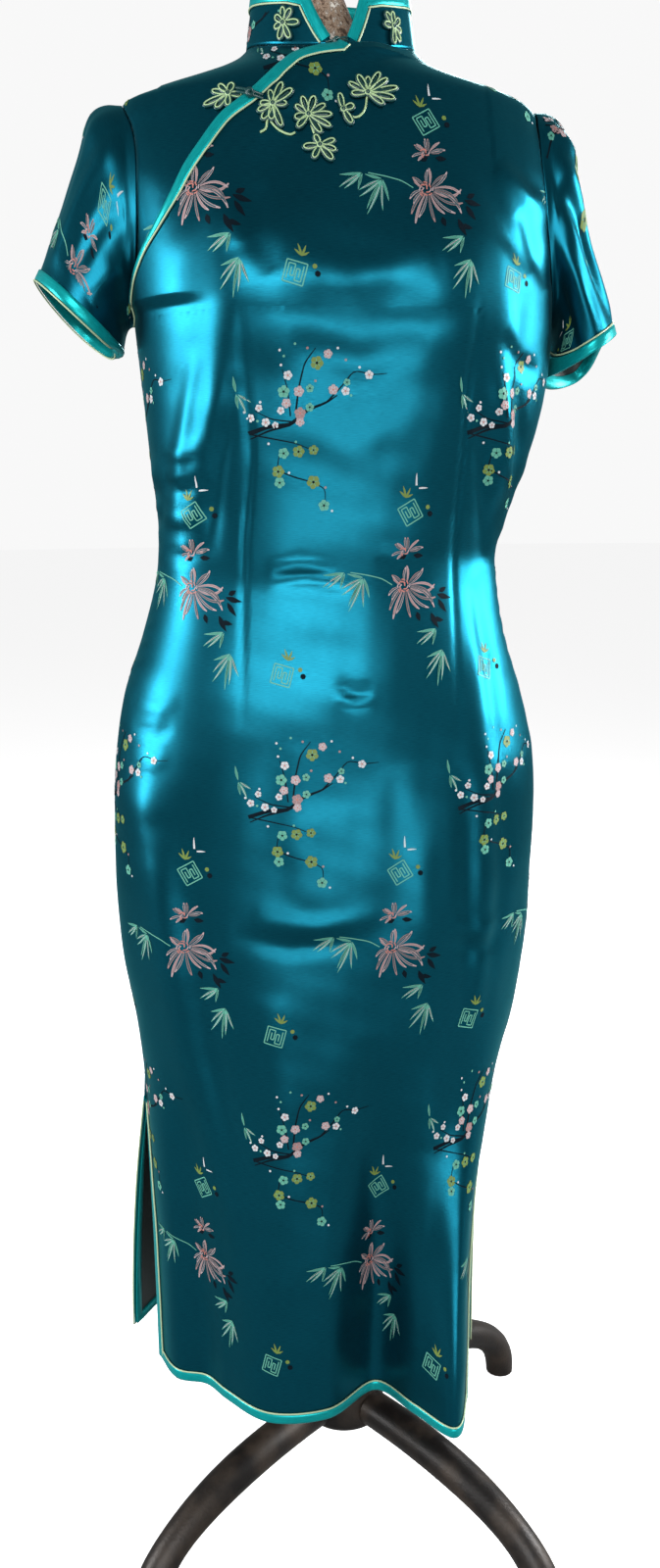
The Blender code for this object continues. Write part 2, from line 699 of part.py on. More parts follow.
def collarGrid():
    """Rows from the collar's top to its seam, its front ends sloping back from the notch."""
    ends = 0.035
    strip = bindingWidth / neckFront
    quarter = [math.pi / 2 * (1 - k / neckSteps) for k in range(1, neckSteps)]
    left = [math.pi / 2 - ends, math.pi / 2 - ends - strip] + quarter[1:]
    back = [-math.pi * k / (2 * neckSteps) for k in range(2 * neckSteps + 1)]
    feet = left + back + [-math.pi - a for a in reversed(left)]
    ups = [collarHeight, collarHeight - bindingWidth, 0.018, 0.007, 0.0]
    grid = []
    for up in ups:
        row = []
        for i, angle in enumerate(feet):
            share = up / collarHeight
            fromLeft = min(1.0, max(0.0, 1.25 - i / 4)) ** 1.3
            fromRight = min(1.0, max(0.0, 1.25 - (len(feet) - 1 - i) / 4)) ** 1.3
            slope = share ** 0.8
            turned = angle - fromLeft * slope * collarNotch["left"] / neckFront
            turned += fromRight * slope * collarNotch["right"] / neckFront
            rounded = up * (1 - 0.04 * share**2 * max(fromLeft, fromRight))
            row.append(collarPoint(turned, rounded))
        grid.append(row)
    return np.array(grid)


def surfaceNormals(points):
    """Normals of a grid of points, from its neighbours."""
    across = np.gradient(points, axis=1)
    down = np.gradient(points, axis=0)
    return unit(np.cross(down, across))


def makeCollar():
    points = collarGrid()
    straightenCorners(points, 0)
    normals = surfaceNormals(points)
    normals *= np.sign(np.sum(normals * points * np.array([1, 1, 0]), axis=-1, keepdims=True))
    makeSheet("collar", points, normals, (0.0, 0.16, 0.19), cornerRow=0)
    end = points.shape[1] - 1
    path = [((3, 0), (3, 1)), ((2, 0), (2, 1)), ((1, 0), (1, 1)), ((0, 0), (1, 1))]
    path += [((0, i), (1, i)) for i in range(2, end - 1)]
    path += [((0, end), (1, end - 1))] + [((j, end), (j, end - 1)) for j in (1, 2, 3)]
    stations = edgeStations(points, normals, path)
    makeBinding("binding_collar", stations, gap=0.0005)
    makePiping("piping_collar", stations)


def sleevePoint(hand, angle, share):
    """A sleeve runs straight out of its armhole and curves down to the cuff."""
    sign = -1 if hand == "left" else 1
    side, u, h = armholePlace(hand, angle)
    start = clothPoint(side, u, h) + np.array([sign * 0.0006, 0, 0])
    cuff = cuffs[hand]
    s = math.sin(angle)
    c = math.cos(angle)
    outer = np.array([sign * math.cos(cuff["tilt"]), 0, math.sin(cuff["tilt"])])
    end = np.array([cuff["x"], cuff["y"], cuff["height"]]) + outer * cuff["across"] * c
    behind = max(0.0, -s)
    swing = cuff["swing"] * behind**2
    end = end + np.array([sign * swing, -cuff["depth"] * s, -cuff["drop"] * behind])
    top = (1 + c) / 2
    startPull = np.array([sign * (0.008 + 0.027 * top), 0, 0.003 * top])
    downward = np.array([sign * math.sin(cuff["tilt"]) * 0.55, 0, -math.cos(cuff["tilt"])])
    endPull = -downward * (0.006 + 0.066 * top)
    t = share
    return ((1 - t) ** 3 * start + 3 * (1 - t) ** 2 * t * (start + startPull)
            + 3 * (1 - t) * t**2 * (end + endPull) + t**3 * end)


def makeSleeve(hand):
    steps = 2 * armholeSteps
    angles = [math.pi + 2 * math.pi * k / steps for k in range(steps + 1)]
    angles[0] += 0.003
    angles[-1] -= 0.003
    columns = []
    for angle in angles:
        length = np.linalg.norm(sleevePoint(hand, angle, 1) - sleevePoint(hand, angle, 0))
        strip = 1 - bindingWidth / max(length, 2.2 * bindingWidth)
        shares = list(np.linspace(0, strip, sleeveRows)) + [1.0]
        columns.append([sleevePoint(hand, angle, share) for share in shares])
    points = np.array(columns).transpose(1, 0, 2)
    closed = np.concatenate([points[:, -3:-1], points, points[:, 1:3]], axis=1)
    normals = surfaceNormals(closed)[:, 2:-2]
    centre = points.mean(axis=1, keepdims=True)
    normals *= np.sign(np.sum(normals * (points - centre), axis=-1).mean())
    makeSheet("sleeve_" + hand, points, normals, (0.0, 0.18, 0.22))
    last = points.shape[0] - 1
    stations = edgeStations(points, normals, [((last, i), (last - 1, i)) for i in range(steps + 1)])
    makeBinding("binding_cuff_" + hand, stations)
    makePiping("piping_cuff_" + hand, stations)


def loopReach(loop, angle):
    """How far a round-ended loop reaches from the frog's core in a direction."""
    half = loopWidth / 2
    turn = abs((angle - math.radians(loop[0]) + math.pi) % (2 * math.pi) - math.pi)
    tip = loop[1] - half
    if turn >= math.pi / 2:
        return half
    if tip * math.sin(turn) <= half:
        return tip * math.cos(turn) + math.sqrt(half**2 - (tip * math.sin(turn)) ** 2)
    return half / math.sin(turn)


def loopOutline(loops):
    """The flat outline of a frog: the union of its loops, seen from its core."""
    angles = []
    ordered = sorted(math.radians(loop[0] % 360) for loop in loops)
    for loop in loops:
        spread = math.asin(min(1.0, loopWidth / 2 / (loop[1] - loopWidth / 2)))
        angles += [math.radians(loop[0]) + spread * k for k in (-1.7, -0.95, -0.6, 0, 0.6, 0.95, 1.7)]
    for a, b in zip(ordered, ordered[1:] + [ordered[0] + 2 * math.pi]):
        angles.append((a + b) / 2)
    angles = sorted(a % (2 * math.pi) for a in angles)
    kept = [angles[0]]
    for a in angles[1:]:
        if a - kept[-1] > math.radians(2.5):
            kept.append(a)
    outline = []
    for a in kept:
        r = max(max(loopReach(loop, a) for loop in loops), frogCore)
        outline.append(np.array([r * math.cos(a), r * math.sin(a)]))
    return outline


def makeFrog(name, loops, place):
    """A flat filled outline, thickened and laid on the cloth by place(across, up, lift)."""
    curve = bpy.data.curves.new(name, "CURVE")
    curve.dimensions = "2D"
    curve.fill_mode = "BOTH"
    curve.extrude = frogThickness / 2
    spline = curve.splines.new("POLY")
    outline = loopOutline(loops)
    spline.points.add(len(outline) - 1)
    for point, (x, y) in zip(spline.points, outline):
        point.co = (x, y, 0, 1)
    spline.use_cyclic_u = True
    drawn = bpy.data.objects.new(name + "_outline", curve)
    cutterCollection.objects.link(drawn)
    bpy.context.view_layer.update()
    mesh = bpy.data.meshes.new_from_object(drawn.evaluated_get(bpy.context.evaluated_depsgraph_get()))
    bpy.data.objects.remove(drawn)
    bm = bmesh.new()
    bm.from_mesh(mesh)
    bmesh.ops.remove_doubles(bm, verts=bm.verts, dist=0.00001)
    for v in bm.verts:
        v.co = Vector(place(v.co.x, v.co.y, v.co.z + frogThickness / 2))
    return newObject(name, finishMesh(name, bm), (0.10, 0.30, 0.20), 0.4)


def chestPlace(frog):
    def place(across, up, lift):
        height = frog["height"] + up * 0.95
        u = shareFromX(frog["x"] + across, height)
        raised = flapRaiseAt(u, height) if frog["on"] == "front" else 0.0
        normal = clothNormal("front", u, height)
        return clothPoint("front", u, height) + normal * (raised + frogLift + lift)
    return place


def collarPlace(frog):
    def place(across, up, lift):
        angle = math.radians(frog["angle"]) + across / neckFront
        point = collarPoint(angle, frog["height"] + up)
        normal = unit(point * np.array([1, 1, 0]))
        return point + normal * (frogLift + lift)
    return place


def makeFrogs():
    for frog in chestFrogs:
        makeFrog(frog["name"], frog["loops"], chestPlace(frog))
    for frog in collarFrogs:
        makeFrog(frog["name"], frog["loops"], collarPlace(frog))
    height = 1.1825
    u = shareFromX(-0.0655, height)
    normal = clothNormal("front", u, height)
    centre = clothPoint("front", u, height) + normal * (flapRaiseAt(u, height) + 0.0046)
    bm = bmesh.new()
    bmesh.ops.create_uvsphere(bm, u_segments=10, v_segments=6, radius=0.0030)
    for v in bm.verts:
        v.co = v.co + Vector(centre)
    newObject("frog_knot", finishMesh("frog_knot", bm), (0.02, 0.30, 0.30), 0.4)


def formRing(height):
    """A ring of the form inside the dress: clear of it, and close under it at the shoulders."""
    near = float(ease((height - shoulderStart) / (shoulderEnd - shoulderStart)))
    clearance = formClearance + (shoulderClearance - formClearance) * near
    inside, length = ringSamples(height + clearance, clearance)
    along = np.linspace(0, length[-1], formSides + 1)[:-1]
    return np.stack([np.interp(along, length, inside[:, 0]), np.interp(along, length, inside[:, 1])], axis=1)


def makeForm():
    """The limbless form: hips, waist, bust and shoulders, then a slim neck that leans to one side."""
    lower = [formBottom, 0.612, 0.64, 0.69, 0.74, 0.79, 0.84, 0.88, 0.93, 0.98, 1.03, 1.07, 1.11, 1.15,
             1.176, 1.190, 1.200]
    rings = []
    for k, height in enumerate(lower):
        plan = formRing(height)
        if k == 0:
            plan = plan * 0.93
        rings.append(np.column_stack([plan, np.full(formSides, height)]))
    neckRows = [
        dict(height=1.212, x=-0.004, y=0.004, halfWidth=0.066, halfDepth=0.050),
        dict(height=1.226, x=-0.010, y=0.002, halfWidth=0.047, halfDepth=0.044),
        dict(height=1.244, x=-0.013, y=0.002, halfWidth=0.036, halfDepth=0.038),
        dict(height=1.274, x=-0.020, y=0.000, halfWidth=0.030, halfDepth=0.034),
        dict(height=1.288, x=-0.026, y=0.002, halfWidth=0.030, halfDepth=0.035),
        dict(height=1.300, x=neckLean, y=0.004, halfWidth=0.030, halfDepth=0.035),
        dict(height=1.326, x=neckLean, y=0.005, halfWidth=0.029, halfDepth=0.034),
        dict(height=1.336, x=neckLean, y=0.005, halfWidth=0.024, halfDepth=0.029),
        dict(height=neckTop, x=neckLean, y=0.005, halfWidth=0.014, halfDepth=0.018),
    ]
    reference = formRing(1.200)
    turn = np.arctan2(reference[:, 1], reference[:, 0])
    for row in neckRows:
        x = row["x"] + row["halfWidth"] * np.cos(turn)
        y = row["y"] + row["halfDepth"] * np.sin(turn)
        rings.append(np.column_stack([x, y, np.full(formSides, row["height"])]))
    sweepSections("form_body", rings, (0.45, 0.38, 0.30))


def turnedSolid(name, profile, steps, colour):
    """A solid turned about the stand's axis from (radius, height) pairs down its outer side."""
    bm = bmesh.new()
    points = [(0.0, profile[0][1])] + profile + [(0.0, profile[-1][1])]
    verts = [bm.verts.new((r, 0.0, z)) for r, z in points]
    for a, b in zip(verts, verts[1:]):
        bm.edges.new((a, b))
    mesh = bpy.data.meshes.new(name)
    bm.to_mesh(mesh)
    bm.free()
    thing = newObject(name, mesh, colour, 0.5, metallic=0.6)
    screw = thing.modifiers.new("Turn", "SCREW")
    screw.angle = 2 * math.pi
    screw.steps = steps
    screw.render_steps = steps
    screw.use_merge_vertices = True
    screw.merge_threshold = 0.00005
    screw.use_smooth_shade = True
    return thing


def makeStand():
    iron = (0.03, 0.024, 0.02)
    plateBottom = formBottom - seamGap - plateThickness
    plateTop = formBottom - seamGap
    turnedSolid("form_plate", [(plateRadius, plateTop), (plateRadius, plateBottom + 0.003),
                               (plateRadius - 0.004, plateBottom)], 20, iron)
    turnedSolid("stand_pole", [(poleRadius, plateBottom - seamGap), (poleRadius, hubTop + seamGap)], 16, iron)
    turnedSolid("stand_hub", [(poleRadius + 0.006, hubTop), (hubRadius, hubTop - 0.012),
                              (hubRadius, hubBottom + 0.006), (hubRadius - 0.006, hubBottom)], 24, iron)
    legSteps = 11
    legSides = 10
    for k, name in enumerate(("front_left", "back_left", "back_right", "front_right")):
        heading = standTurn * -1 + math.radians(225 - 90 * k)
        out = np.array([math.cos(heading), math.sin(heading), 0.0])
        sidewise = np.array([-out[1], out[0], 0.0])
        start = math.asin(((hubRadius + seamGap) / legReach) ** (legSquareness / 2))
        rings = []
        for j in range(legSteps + 1):
            a = start + (math.pi / 2 - start) * (j / legSteps) ** 0.8
            r = legReach * math.sin(a) ** (2 / legSquareness)
            z = legRise * max(math.cos(a), 0) ** (2 / legSquareness)
            da = 0.01
            dr = legReach * (min(math.sin(a + da), 1) ** (2 / legSquareness)
                             - math.sin(a - da) ** (2 / legSquareness))
            dz = legRise * (max(math.cos(a + da), 0) ** (2 / legSquareness)
                            - max(math.cos(a - da), 0) ** (2 / legSquareness))
            along = unit(out * dr + np.array([0, 0, dz]))
            if j == 0:
                along = out
            if j == legSteps:
                along = np.array([0, 0, -1.0])
            up = unit(np.cross(sidewise, along)) * -1
            share = j / legSteps
            radius = legRadius + (footRadius - legRadius) * share
            centre = out * r + np.array([0, 0, z])
            rings.append([centre + sidewise * radius * 1.02 * math.cos(2 * math.pi * m / legSides)
                          + up * radius * math.sin(2 * math.pi * m / legSides) for m in range(legSides)])
        sweepSections("leg_" + name, rings, iron)


for old in list(bpy.data.objects):
    bpy.data.objects.remove(old, do_unlink=True)
dressCollection = bpy.data.collections.new("Cheongsam on a dress form")
bpy.context.scene.collection.children.link(dressCollection)
cutterCollection = bpy.data.collections.new("Guides")
bpy.context.scene.collection.children.link(cutterCollection)

makeDress()
makeCollar()
makeSleeve("left")
makeSleeve("right")
makeFrogs()
makeForm()
makeStand()
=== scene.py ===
# Looks of a satin brocade cheongsam worn on a limbless dress form with an iron stand.
# Metres, +Z up, the front of the dress faces -Y. The cloth is laid on the same sections as its solids,
# with finer creases, and the woven motifs, trims and frogs are laid on the cloth.

import math

import bmesh
import bpy
import numpy as np
from mathutils import Matrix, Vector


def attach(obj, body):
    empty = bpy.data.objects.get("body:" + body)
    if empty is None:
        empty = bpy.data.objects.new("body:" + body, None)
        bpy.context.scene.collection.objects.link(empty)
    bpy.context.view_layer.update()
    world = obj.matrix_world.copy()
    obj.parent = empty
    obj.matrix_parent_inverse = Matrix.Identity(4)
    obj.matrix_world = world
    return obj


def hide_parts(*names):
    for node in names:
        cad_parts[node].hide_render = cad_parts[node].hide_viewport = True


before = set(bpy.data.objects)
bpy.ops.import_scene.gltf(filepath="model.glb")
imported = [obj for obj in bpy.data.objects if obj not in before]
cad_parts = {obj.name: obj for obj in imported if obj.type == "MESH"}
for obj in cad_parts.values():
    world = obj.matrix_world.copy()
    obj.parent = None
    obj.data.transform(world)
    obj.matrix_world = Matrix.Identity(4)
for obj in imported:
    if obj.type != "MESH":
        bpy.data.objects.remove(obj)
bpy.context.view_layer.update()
coarse = 1.0

# The dress: what a user may change
dress = dict(
    thickness=0.0012, hem=0.150, slitTop=0.405, slitOpen=0.393, foldTop=0.600, underarm=1.037,
    shoulderTip=1.196, seamInset=0.00035, flapRaise=0.0040, underlap=0.018, underSink=0.0008,
    neckHalfWidth=0.0645, neckFront=0.060, neckBack=0.055, armholeFront=0.050, armholeBack=0.058,
    frontColumns=140, backColumns=130, creaseDepth=1.35, tableStep=0.0025,
)

# Sections in mm: height, reach to the left and right, depth in front and behind; then squareness
bodySections = [
    (150, 168, 120, 100, 100, 2.2), (300, 170, 124, 102, 103, 2.2), (405, 171, 137, 104, 107, 2.2),
    (460, 175, 147, 106, 110, 2.2), (530, 185, 158, 108, 115, 2.2), (600, 188, 164, 110, 120, 2.2),
    (660, 187, 166, 110, 122, 2.2), (700, 184, 163, 108, 119, 2.2), (750, 175, 152, 103, 107, 2.2),
    (800, 158, 135, 94, 90, 2.2), (850, 145, 128, 87, 79, 2.2), (885, 143, 138, 89, 79, 2.2),
    (930, 147, 153, 97, 85, 2.3), (980, 151, 167, 107, 95, 2.3), (1037, 156, 171, 116, 104, 2.4),
    (1080, 159, 170, 112, 107, 2.4), (1120, 162, 170, 102, 107, 2.4), (1150, 163, 169, 93, 104, 2.3),
    (1180, 163, 164, 83, 98, 2.1), (1196, 159, 156, 77, 92, 2.0), (1205, 138, 133, 73, 88, 2.0),
    (1212, 114, 107, 69, 84, 2.0), (1219, 92, 86, 64, 79, 2.0), (1227, 75, 73, 57, 73, 2.0),
    (1236, 64.5, 64.5, 48, 66, 2.0), (1245, 56, 56, 36, 58, 2.0), (1255, 48, 48, 22, 48, 2.0),
]
frontHemPlan = [(-0.167, -0.007), (-0.148, -0.045), (-0.127, -0.053), (-0.110, -0.076), (-0.075, -0.112),
                (-0.027, -0.113), (0.020, -0.080), (0.047, -0.116), (0.074, -0.150), (0.094, -0.100)]
backHemPlan = [(-0.188, 0.060), (-0.168, 0.092), (-0.120, 0.113), (-0.062, 0.103), (-0.006, 0.117),
               (0.050, 0.104), (0.090, 0.082), (0.114, 0.040), (0.116, 0.000)]
bustForms = [dict(x=-0.072, height=1.062, halfWidth=0.052, halfHeight=0.062, rise=0.011),
             dict(x=0.084, height=1.060, halfWidth=0.052, halfHeight=0.062, rise=0.011)]
# Folds in mm: x and height of both ends, width and rise
frontFolds = [
    (-86, 1080, -92, 975, 16, 3), (-92, 975, -126, 870, 17, 4.2), (118, 1030, 122, 925, 14, 3),
    (-160, 660, -136, 440, 18, 4), (104, 760, 108, 520, 18, 3.4),
]
backFolds = [
    (-100, 1060, -78, 930, 18, 3.6), (104, 1050, 82, 940, 18, 3.6), (-96, 640, -104, 420, 20, 4),
    (70, 600, 60, 400, 20, 3.4),
]
flapEdge = [(0.000, 1.2215), (-0.020, 1.2180), (-0.034, 1.2130), (-0.044, 1.2055), (-0.067, 1.1850),
            (-0.085, 1.1715), (-0.101, 1.1515), (-0.112, 1.1360), (-0.121, 1.1190), (-0.133, 1.0985),
            (-0.144, 1.0810), (-0.1505, 1.0660), (-0.1540, 1.0504)]

# Creases in mm: a line of (x, height) places on a panel, its width, and how far it rises or sinks
frontCreases = [
    ([(-80, 1040), (-75, 972), (-72, 937), (-78, 869), (-84, 732)], 2.2, -1.2),
    ([(94, 1045), (88, 980), (88, 937), (85, 869), (84, 720)], 2.2, -1.2),
    ([(-83, 990), (-96, 925), (-104, 860)], 7, -2.2),
    ([(-110, 1010), (-124, 940), (-132, 880)], 6, 1.8),
    ([(-62, 852), (-38, 856), (-12, 851)], 4.2, 1.3),
    ([(-58, 843), (-30, 846), (2, 838)], 4.6, -1.4),
    ([(20, 862), (48, 857), (74, 862)], 5, -1),
    ([(-12, 766), (4, 758), (16, 760)], 4, -1.2),
    ([(-14, 757), (2, 750), (18, 752)], 4, 1),
    ([(-80, 585), (-30, 575), (20, 584)], 9, 1.3),
    ([(-96, 570), (-50, 560), (0, 566)], 8, -1.4),
    ([(78, 575), (100, 562), (124, 566)], 7, 1.4),
    ([(74, 556), (102, 546), (126, 548)], 7, -1.2),
    ([(-132, 752), (-146, 744), (-164, 750)], 4.4, 0.8),
    ([(-136, 732), (-150, 724), (-168, 730)], 4.2, -0.9),
    ([(-140, 708), (-154, 702), (-170, 708)], 4.4, 0.8),
    ([(-106, 945), (-122, 938), (-138, 944)], 4.5, 1.4),
    ([(-104, 918), (-122, 911), (-137, 917)], 4.5, -1.5),
    ([(-108, 893), (-124, 889), (-138, 893)], 4.5, 1.3),
    ([(-110, 866), (-124, 860), (-139, 866)], 4.5, -1.3),
    ([(112, 1020), (130, 1000), (152, 996)], 7, -2),
    ([(106, 1000), (122, 960), (126, 900)], 8, 2.2),
    ([(128, 990), (138, 950), (136, 890)], 6, -2.4),
    ([(100, 950), (108, 900), (112, 850)], 6, -1.8),
    ([(116, 880), (126, 830), (134, 770)], 7, 2),
    ([(104, 840), (112, 780), (118, 700)], 7, -2),
    ([(132, 1110), (146, 1080), (160, 1060)], 8, -2.4),
    ([(112, 1140), (136, 1120), (158, 1112)], 9, 2.2),
    ([(90, 1150), (118, 1092), (140, 1066)], 10, -1.6),
    ([(-86, 1150), (-92, 1112), (-82, 1076)], 11, 1.6),
    ([(-60, 1122), (-68, 1090), (-58, 1058)], 9, -1.4),
    ([(-50, 1068), (0, 1055), (60, 1070)], 14, 1.4),
    ([(-46, 1010), (6, 1000), (54, 1012)], 13, -1.4),
    ([(-52, 960), (0, 940), (60, 968)], 15, 1),
    ([(-150, 650), (-148, 560), (-130, 450), (-100, 330), (-88, 200)], 12, 2.2),
    ([(-128, 610), (-118, 480), (-90, 340)], 11, -2),
    ([(-66, 520), (-58, 420), (-50, 300)], 14, 1.4),
    ([(10, 480), (16, 380), (20, 260)], 14, -1.6),
    ([(52, 640), (60, 500), (62, 380)], 12, 1.4),
    ([(90, 700), (94, 600), (92, 480)], 10, -2.2),
    ([(122, 690), (124, 600), (112, 470)], 9, -2),
    ([(30, 700), (36, 640), (30, 560)], 13, -1.2),
    ([(-40, 720), (-46, 650), (-38, 590)], 13, 1),
]
backCreases = [
    ([(-80, 1010), (-72, 900), (-80, 760)], 2.2, -1.2),
    ([(84, 1010), (78, 900), (84, 760)], 2.2, -1.2),
    ([(-50, 852), (-10, 860), (40, 850)], 8, 2),
    ([(-60, 836), (-4, 842), (50, 832)], 7, -2),
    ([(-40, 880), (12, 890), (60, 878)], 8, -1.6),
    ([(-110, 880), (-90, 850), (-60, 840)], 7, 1.6),
    ([(120, 900), (96, 866), (66, 856)], 7, 1.8),
    ([(-146, 930), (-120, 900), (-96, 892)], 7, -1.6),
    ([(148, 1060), (120, 1030), (96, 980)], 10, -2.2),
    ([(-146, 1070), (-122, 1036), (-100, 990)], 10, -2),
    ([(-60, 1150), (-50, 1090), (-52, 1020)], 14, 1.6),
    ([(60, 1160), (52, 1100), (58, 1030)], 14, 1.4),
    ([(10, 1130), (4, 1040), (10, 960)], 15, -1.4),
    ([(-170, 700), (-140, 690), (-110, 700)], 7, 1.6),
    ([(156, 710), (128, 700), (104, 712)], 7, -1.6),
    ([(-60, 640), (0, 628), (60, 642)], 10, 1.4),
    ([(-70, 618), (-10, 606), (50, 616)], 9, -1.4),
    ([(-130, 560), (-132, 420), (-140, 260)], 12, 2.2),
    ([(-60, 540), (-56, 400), (-50, 240)], 14, -1.8),
    ([(20, 560), (26, 420), (20, 260)], 14, 1.6),
    ([(96, 560), (92, 440), (88, 300)], 12, -2),
]


def smoothCurve(knots, values, monotone=True):
    x = np.array(knots, dtype=float)
    y = np.array(values, dtype=float)
    step = np.diff(x)
    rise = np.diff(y) / step
    slope = np.empty_like(y)
    slope[0] = rise[0]
    slope[-1] = rise[-1]
    slope[1:-1] = (rise[:-1] * step[1:] + rise[1:] * step[:-1]) / (step[1:] + step[:-1])
    if monotone:
        turning = rise[:-1] * rise[1:] <= 0
        limit = 2.5 * np.minimum(np.abs(rise[:-1]), np.abs(rise[1:]))
        slope[1:-1] = np.where(turning, 0.0, np.clip(slope[1:-1], -limit, limit))

    def at(v):
        v = np.asarray(v, dtype=float)
        k = np.clip(np.searchsorted(x, v) - 1, 0, len(x) - 2)
        t = (v - x[k]) / step[k]
        inside = ((2 * t**3 - 3 * t**2 + 1) * y[k] + (t**3 - 2 * t**2 + t) * step[k] * slope[k]
                  + (3 * t**2 - 2 * t**3) * y[k + 1] + (t**3 - t**2) * step[k] * slope[k + 1])
        before = y[0] + (v - x[0]) * slope[0]
        after = y[-1] + (v - x[-1]) * slope[-1]
        return np.where(v < x[0], before, np.where(v > x[-1], after, inside))

    return at


def ease(t):
    t = np.clip(t, 0.0, 1.0)
    return t * t * (3 - 2 * t)


def unit(v):
    return v / np.maximum(np.linalg.norm(v, axis=-1, keepdims=True), 1e-12)


sectionRows = np.array(bodySections).T
sectionRows[:5] /= 1000
section = {name: smoothCurve(sectionRows[0], row)
           for name, row in zip(("left", "right", "front", "back", "square"), sectionRows[1:])}
quarter = np.linspace(0, 1, 61)
quarter = (quarter - np.sin(2 * np.pi * quarter) / (2 * np.pi)) * np.pi / 2
halfAngles = np.concatenate([quarter, quarter[1:] + np.pi / 2])


def ringSamples(height):
    power = 2 / float(section["square"](height))
    c = np.cos(halfAngles)
    s = np.maximum(np.sin(halfAngles), 0)
    reach = np.where(c > 0, float(section["left"](height)), float(section["right"](height)))
    x = -np.sign(c) * np.abs(c) ** power * reach
    front = -(s ** power) * float(section["front"](height))
    back = (s ** power) * float(section["back"](height))
    ring = np.stack([np.concatenate([x, x[-2::-1]]), np.concatenate([front, back[-2::-1]])], axis=1)
    length = np.concatenate([[0], np.cumsum(np.linalg.norm(np.diff(ring, axis=0), axis=1))])
    return ring, length


def shareAt(side, x, y, height):
    n = float(section["square"](height))
    reach = float(section["left" if x < 0 else "right"](height))
    depth = float(section[side](height))
    angle = math.atan2((abs(y) / depth) ** (n / 2), (abs(x) / reach) ** (n / 2))
    if x > 0:
        angle = math.pi - angle
    ring, length = ringSamples(height)
    half = len(halfAngles)
    if side == "front":
        return float(np.interp(angle, halfAngles, length[:half] / length[half - 1]))
    backLength = length[-1] - length[half - 1:]
    return float(np.interp(angle, halfAngles, (backLength / backLength[0])[::-1]))


def shareFromX(x, height):
    ring, length = ringSamples(height)
    half = len(halfAngles)
    return float(np.interp(x, ring[:half, 0], length[:half] / length[half - 1]))


def planCurve(points):
    points = np.array(points)
    chord = np.concatenate([[0], np.cumsum(np.linalg.norm(np.diff(points, axis=0), axis=1))])
    chord = chord / chord[-1]
    x = smoothCurve(chord, points[:, 0], monotone=False)
    y = smoothCurve(chord, points[:, 1], monotone=False)
    return lambda u: np.stack([x(u), y(u)], axis=-1)


hemPlan = dict(front=planCurve(frontHemPlan), back=planCurve(backHemPlan))
folds = dict(front=frontFolds, back=backFolds)


def bodyRow(side, shares, height):
    # The dressed body's outer face at one height, at many shares of its front or back half.
    ring, length = ringSamples(height)
    half = length[len(halfAngles) - 1]
    total = length[-1]
    along = shares * half if side == "front" else half + (1 - shares) * (total - half)
    along = along % total
    point = np.stack([np.interp(along, length, ring[:, 0]), np.interp(along, length, ring[:, 1])], axis=1)
    middle = np.maximum(0.0, np.sin(np.pi * np.clip(shares, 0, 1)))
    top = dress["slitTop"] + (dress["foldTop"] - dress["slitTop"]) * middle ** 0.7
    share = np.maximum(0.0, (top - height) / (top - dress["hem"]))
    atEdge = np.abs(2 * shares - 1) ** 4
    weight = (1 - atEdge) * ease(share) + atEdge * (1 - (1 - np.minimum(share, 1.0)) ** 1.6)
    point = point + (hemPlan[side](shares) - point) * weight[:, None]
    if side == "front":
        for form in bustForms:
            away = ((point[:, 0] - form["x"]) / form["halfWidth"]) ** 2
            away += ((height - form["height"]) / form["halfHeight"]) ** 2
            point[:, 1] -= form["rise"] * np.exp(-away)
    rise = 0.0
    for x0, h0, x1, h1, width, top in np.array(folds[side]) / 1000:
        bx, bh = x1 - x0, h1 - h0
        t = ((point[:, 0] - x0) * bx + (height - h0) * bh) / (bx * bx + bh * bh)
        near = np.clip(t, 0.0, 1.0)
        away = np.hypot(point[:, 0] - x0 - near * bx, (height - h0 - near * bh) * 0.6)
        rise = rise + top * np.exp(-((away / width) ** 2))
    rise = rise * ease(shares / 0.07) * ease((1 - shares) / 0.07)
    point = point + unit(point * np.array([1.0, 1.4])) * rise[:, None]
    return np.column_stack([point, np.full(len(shares), height)]), half if side == "front" else total - half


tableShares = np.linspace(-0.03, 1.03, 425)
tableHeights = np.arange(0.140, 1.2625, dress["tableStep"])
tables = {}
girths = {}
for side in ("front", "back"):
    rows = [bodyRow(side, tableShares, h) for h in tableHeights]
    tables[side] = np.array([row for row, half in rows])
    girths[side] = np.array([half for row, half in rows])


def lookUp(side, u, h):
    table = tables[side]
    a = np.clip((np.asarray(h, float) - tableHeights[0]) / dress["tableStep"], 0, len(tableHeights) - 1.001)
    b = np.clip((np.asarray(u, float) - tableShares[0]) / (tableShares[1] - tableShares[0]), 0,
                len(tableShares) - 1.001)
    i, j = a.astype(int), b.astype(int)
    a, b = (a - i)[..., None], (b - j)[..., None]
    return ((table[i, j] * (1 - b) + table[i, j + 1] * b) * (1 - a)
            + (table[i + 1, j] * (1 - b) + table[i + 1, j + 1] * b) * a)


def bodyNormal(side, u, h):
    across = lookUp(side, u + 0.006, h) - lookUp(side, u - 0.006, h)
    up = lookUp(side, u, h + 0.004) - lookUp(side, u, h - 0.004)
    normal = np.cross(across, up)
    return unit(normal if side == "front" else -normal)


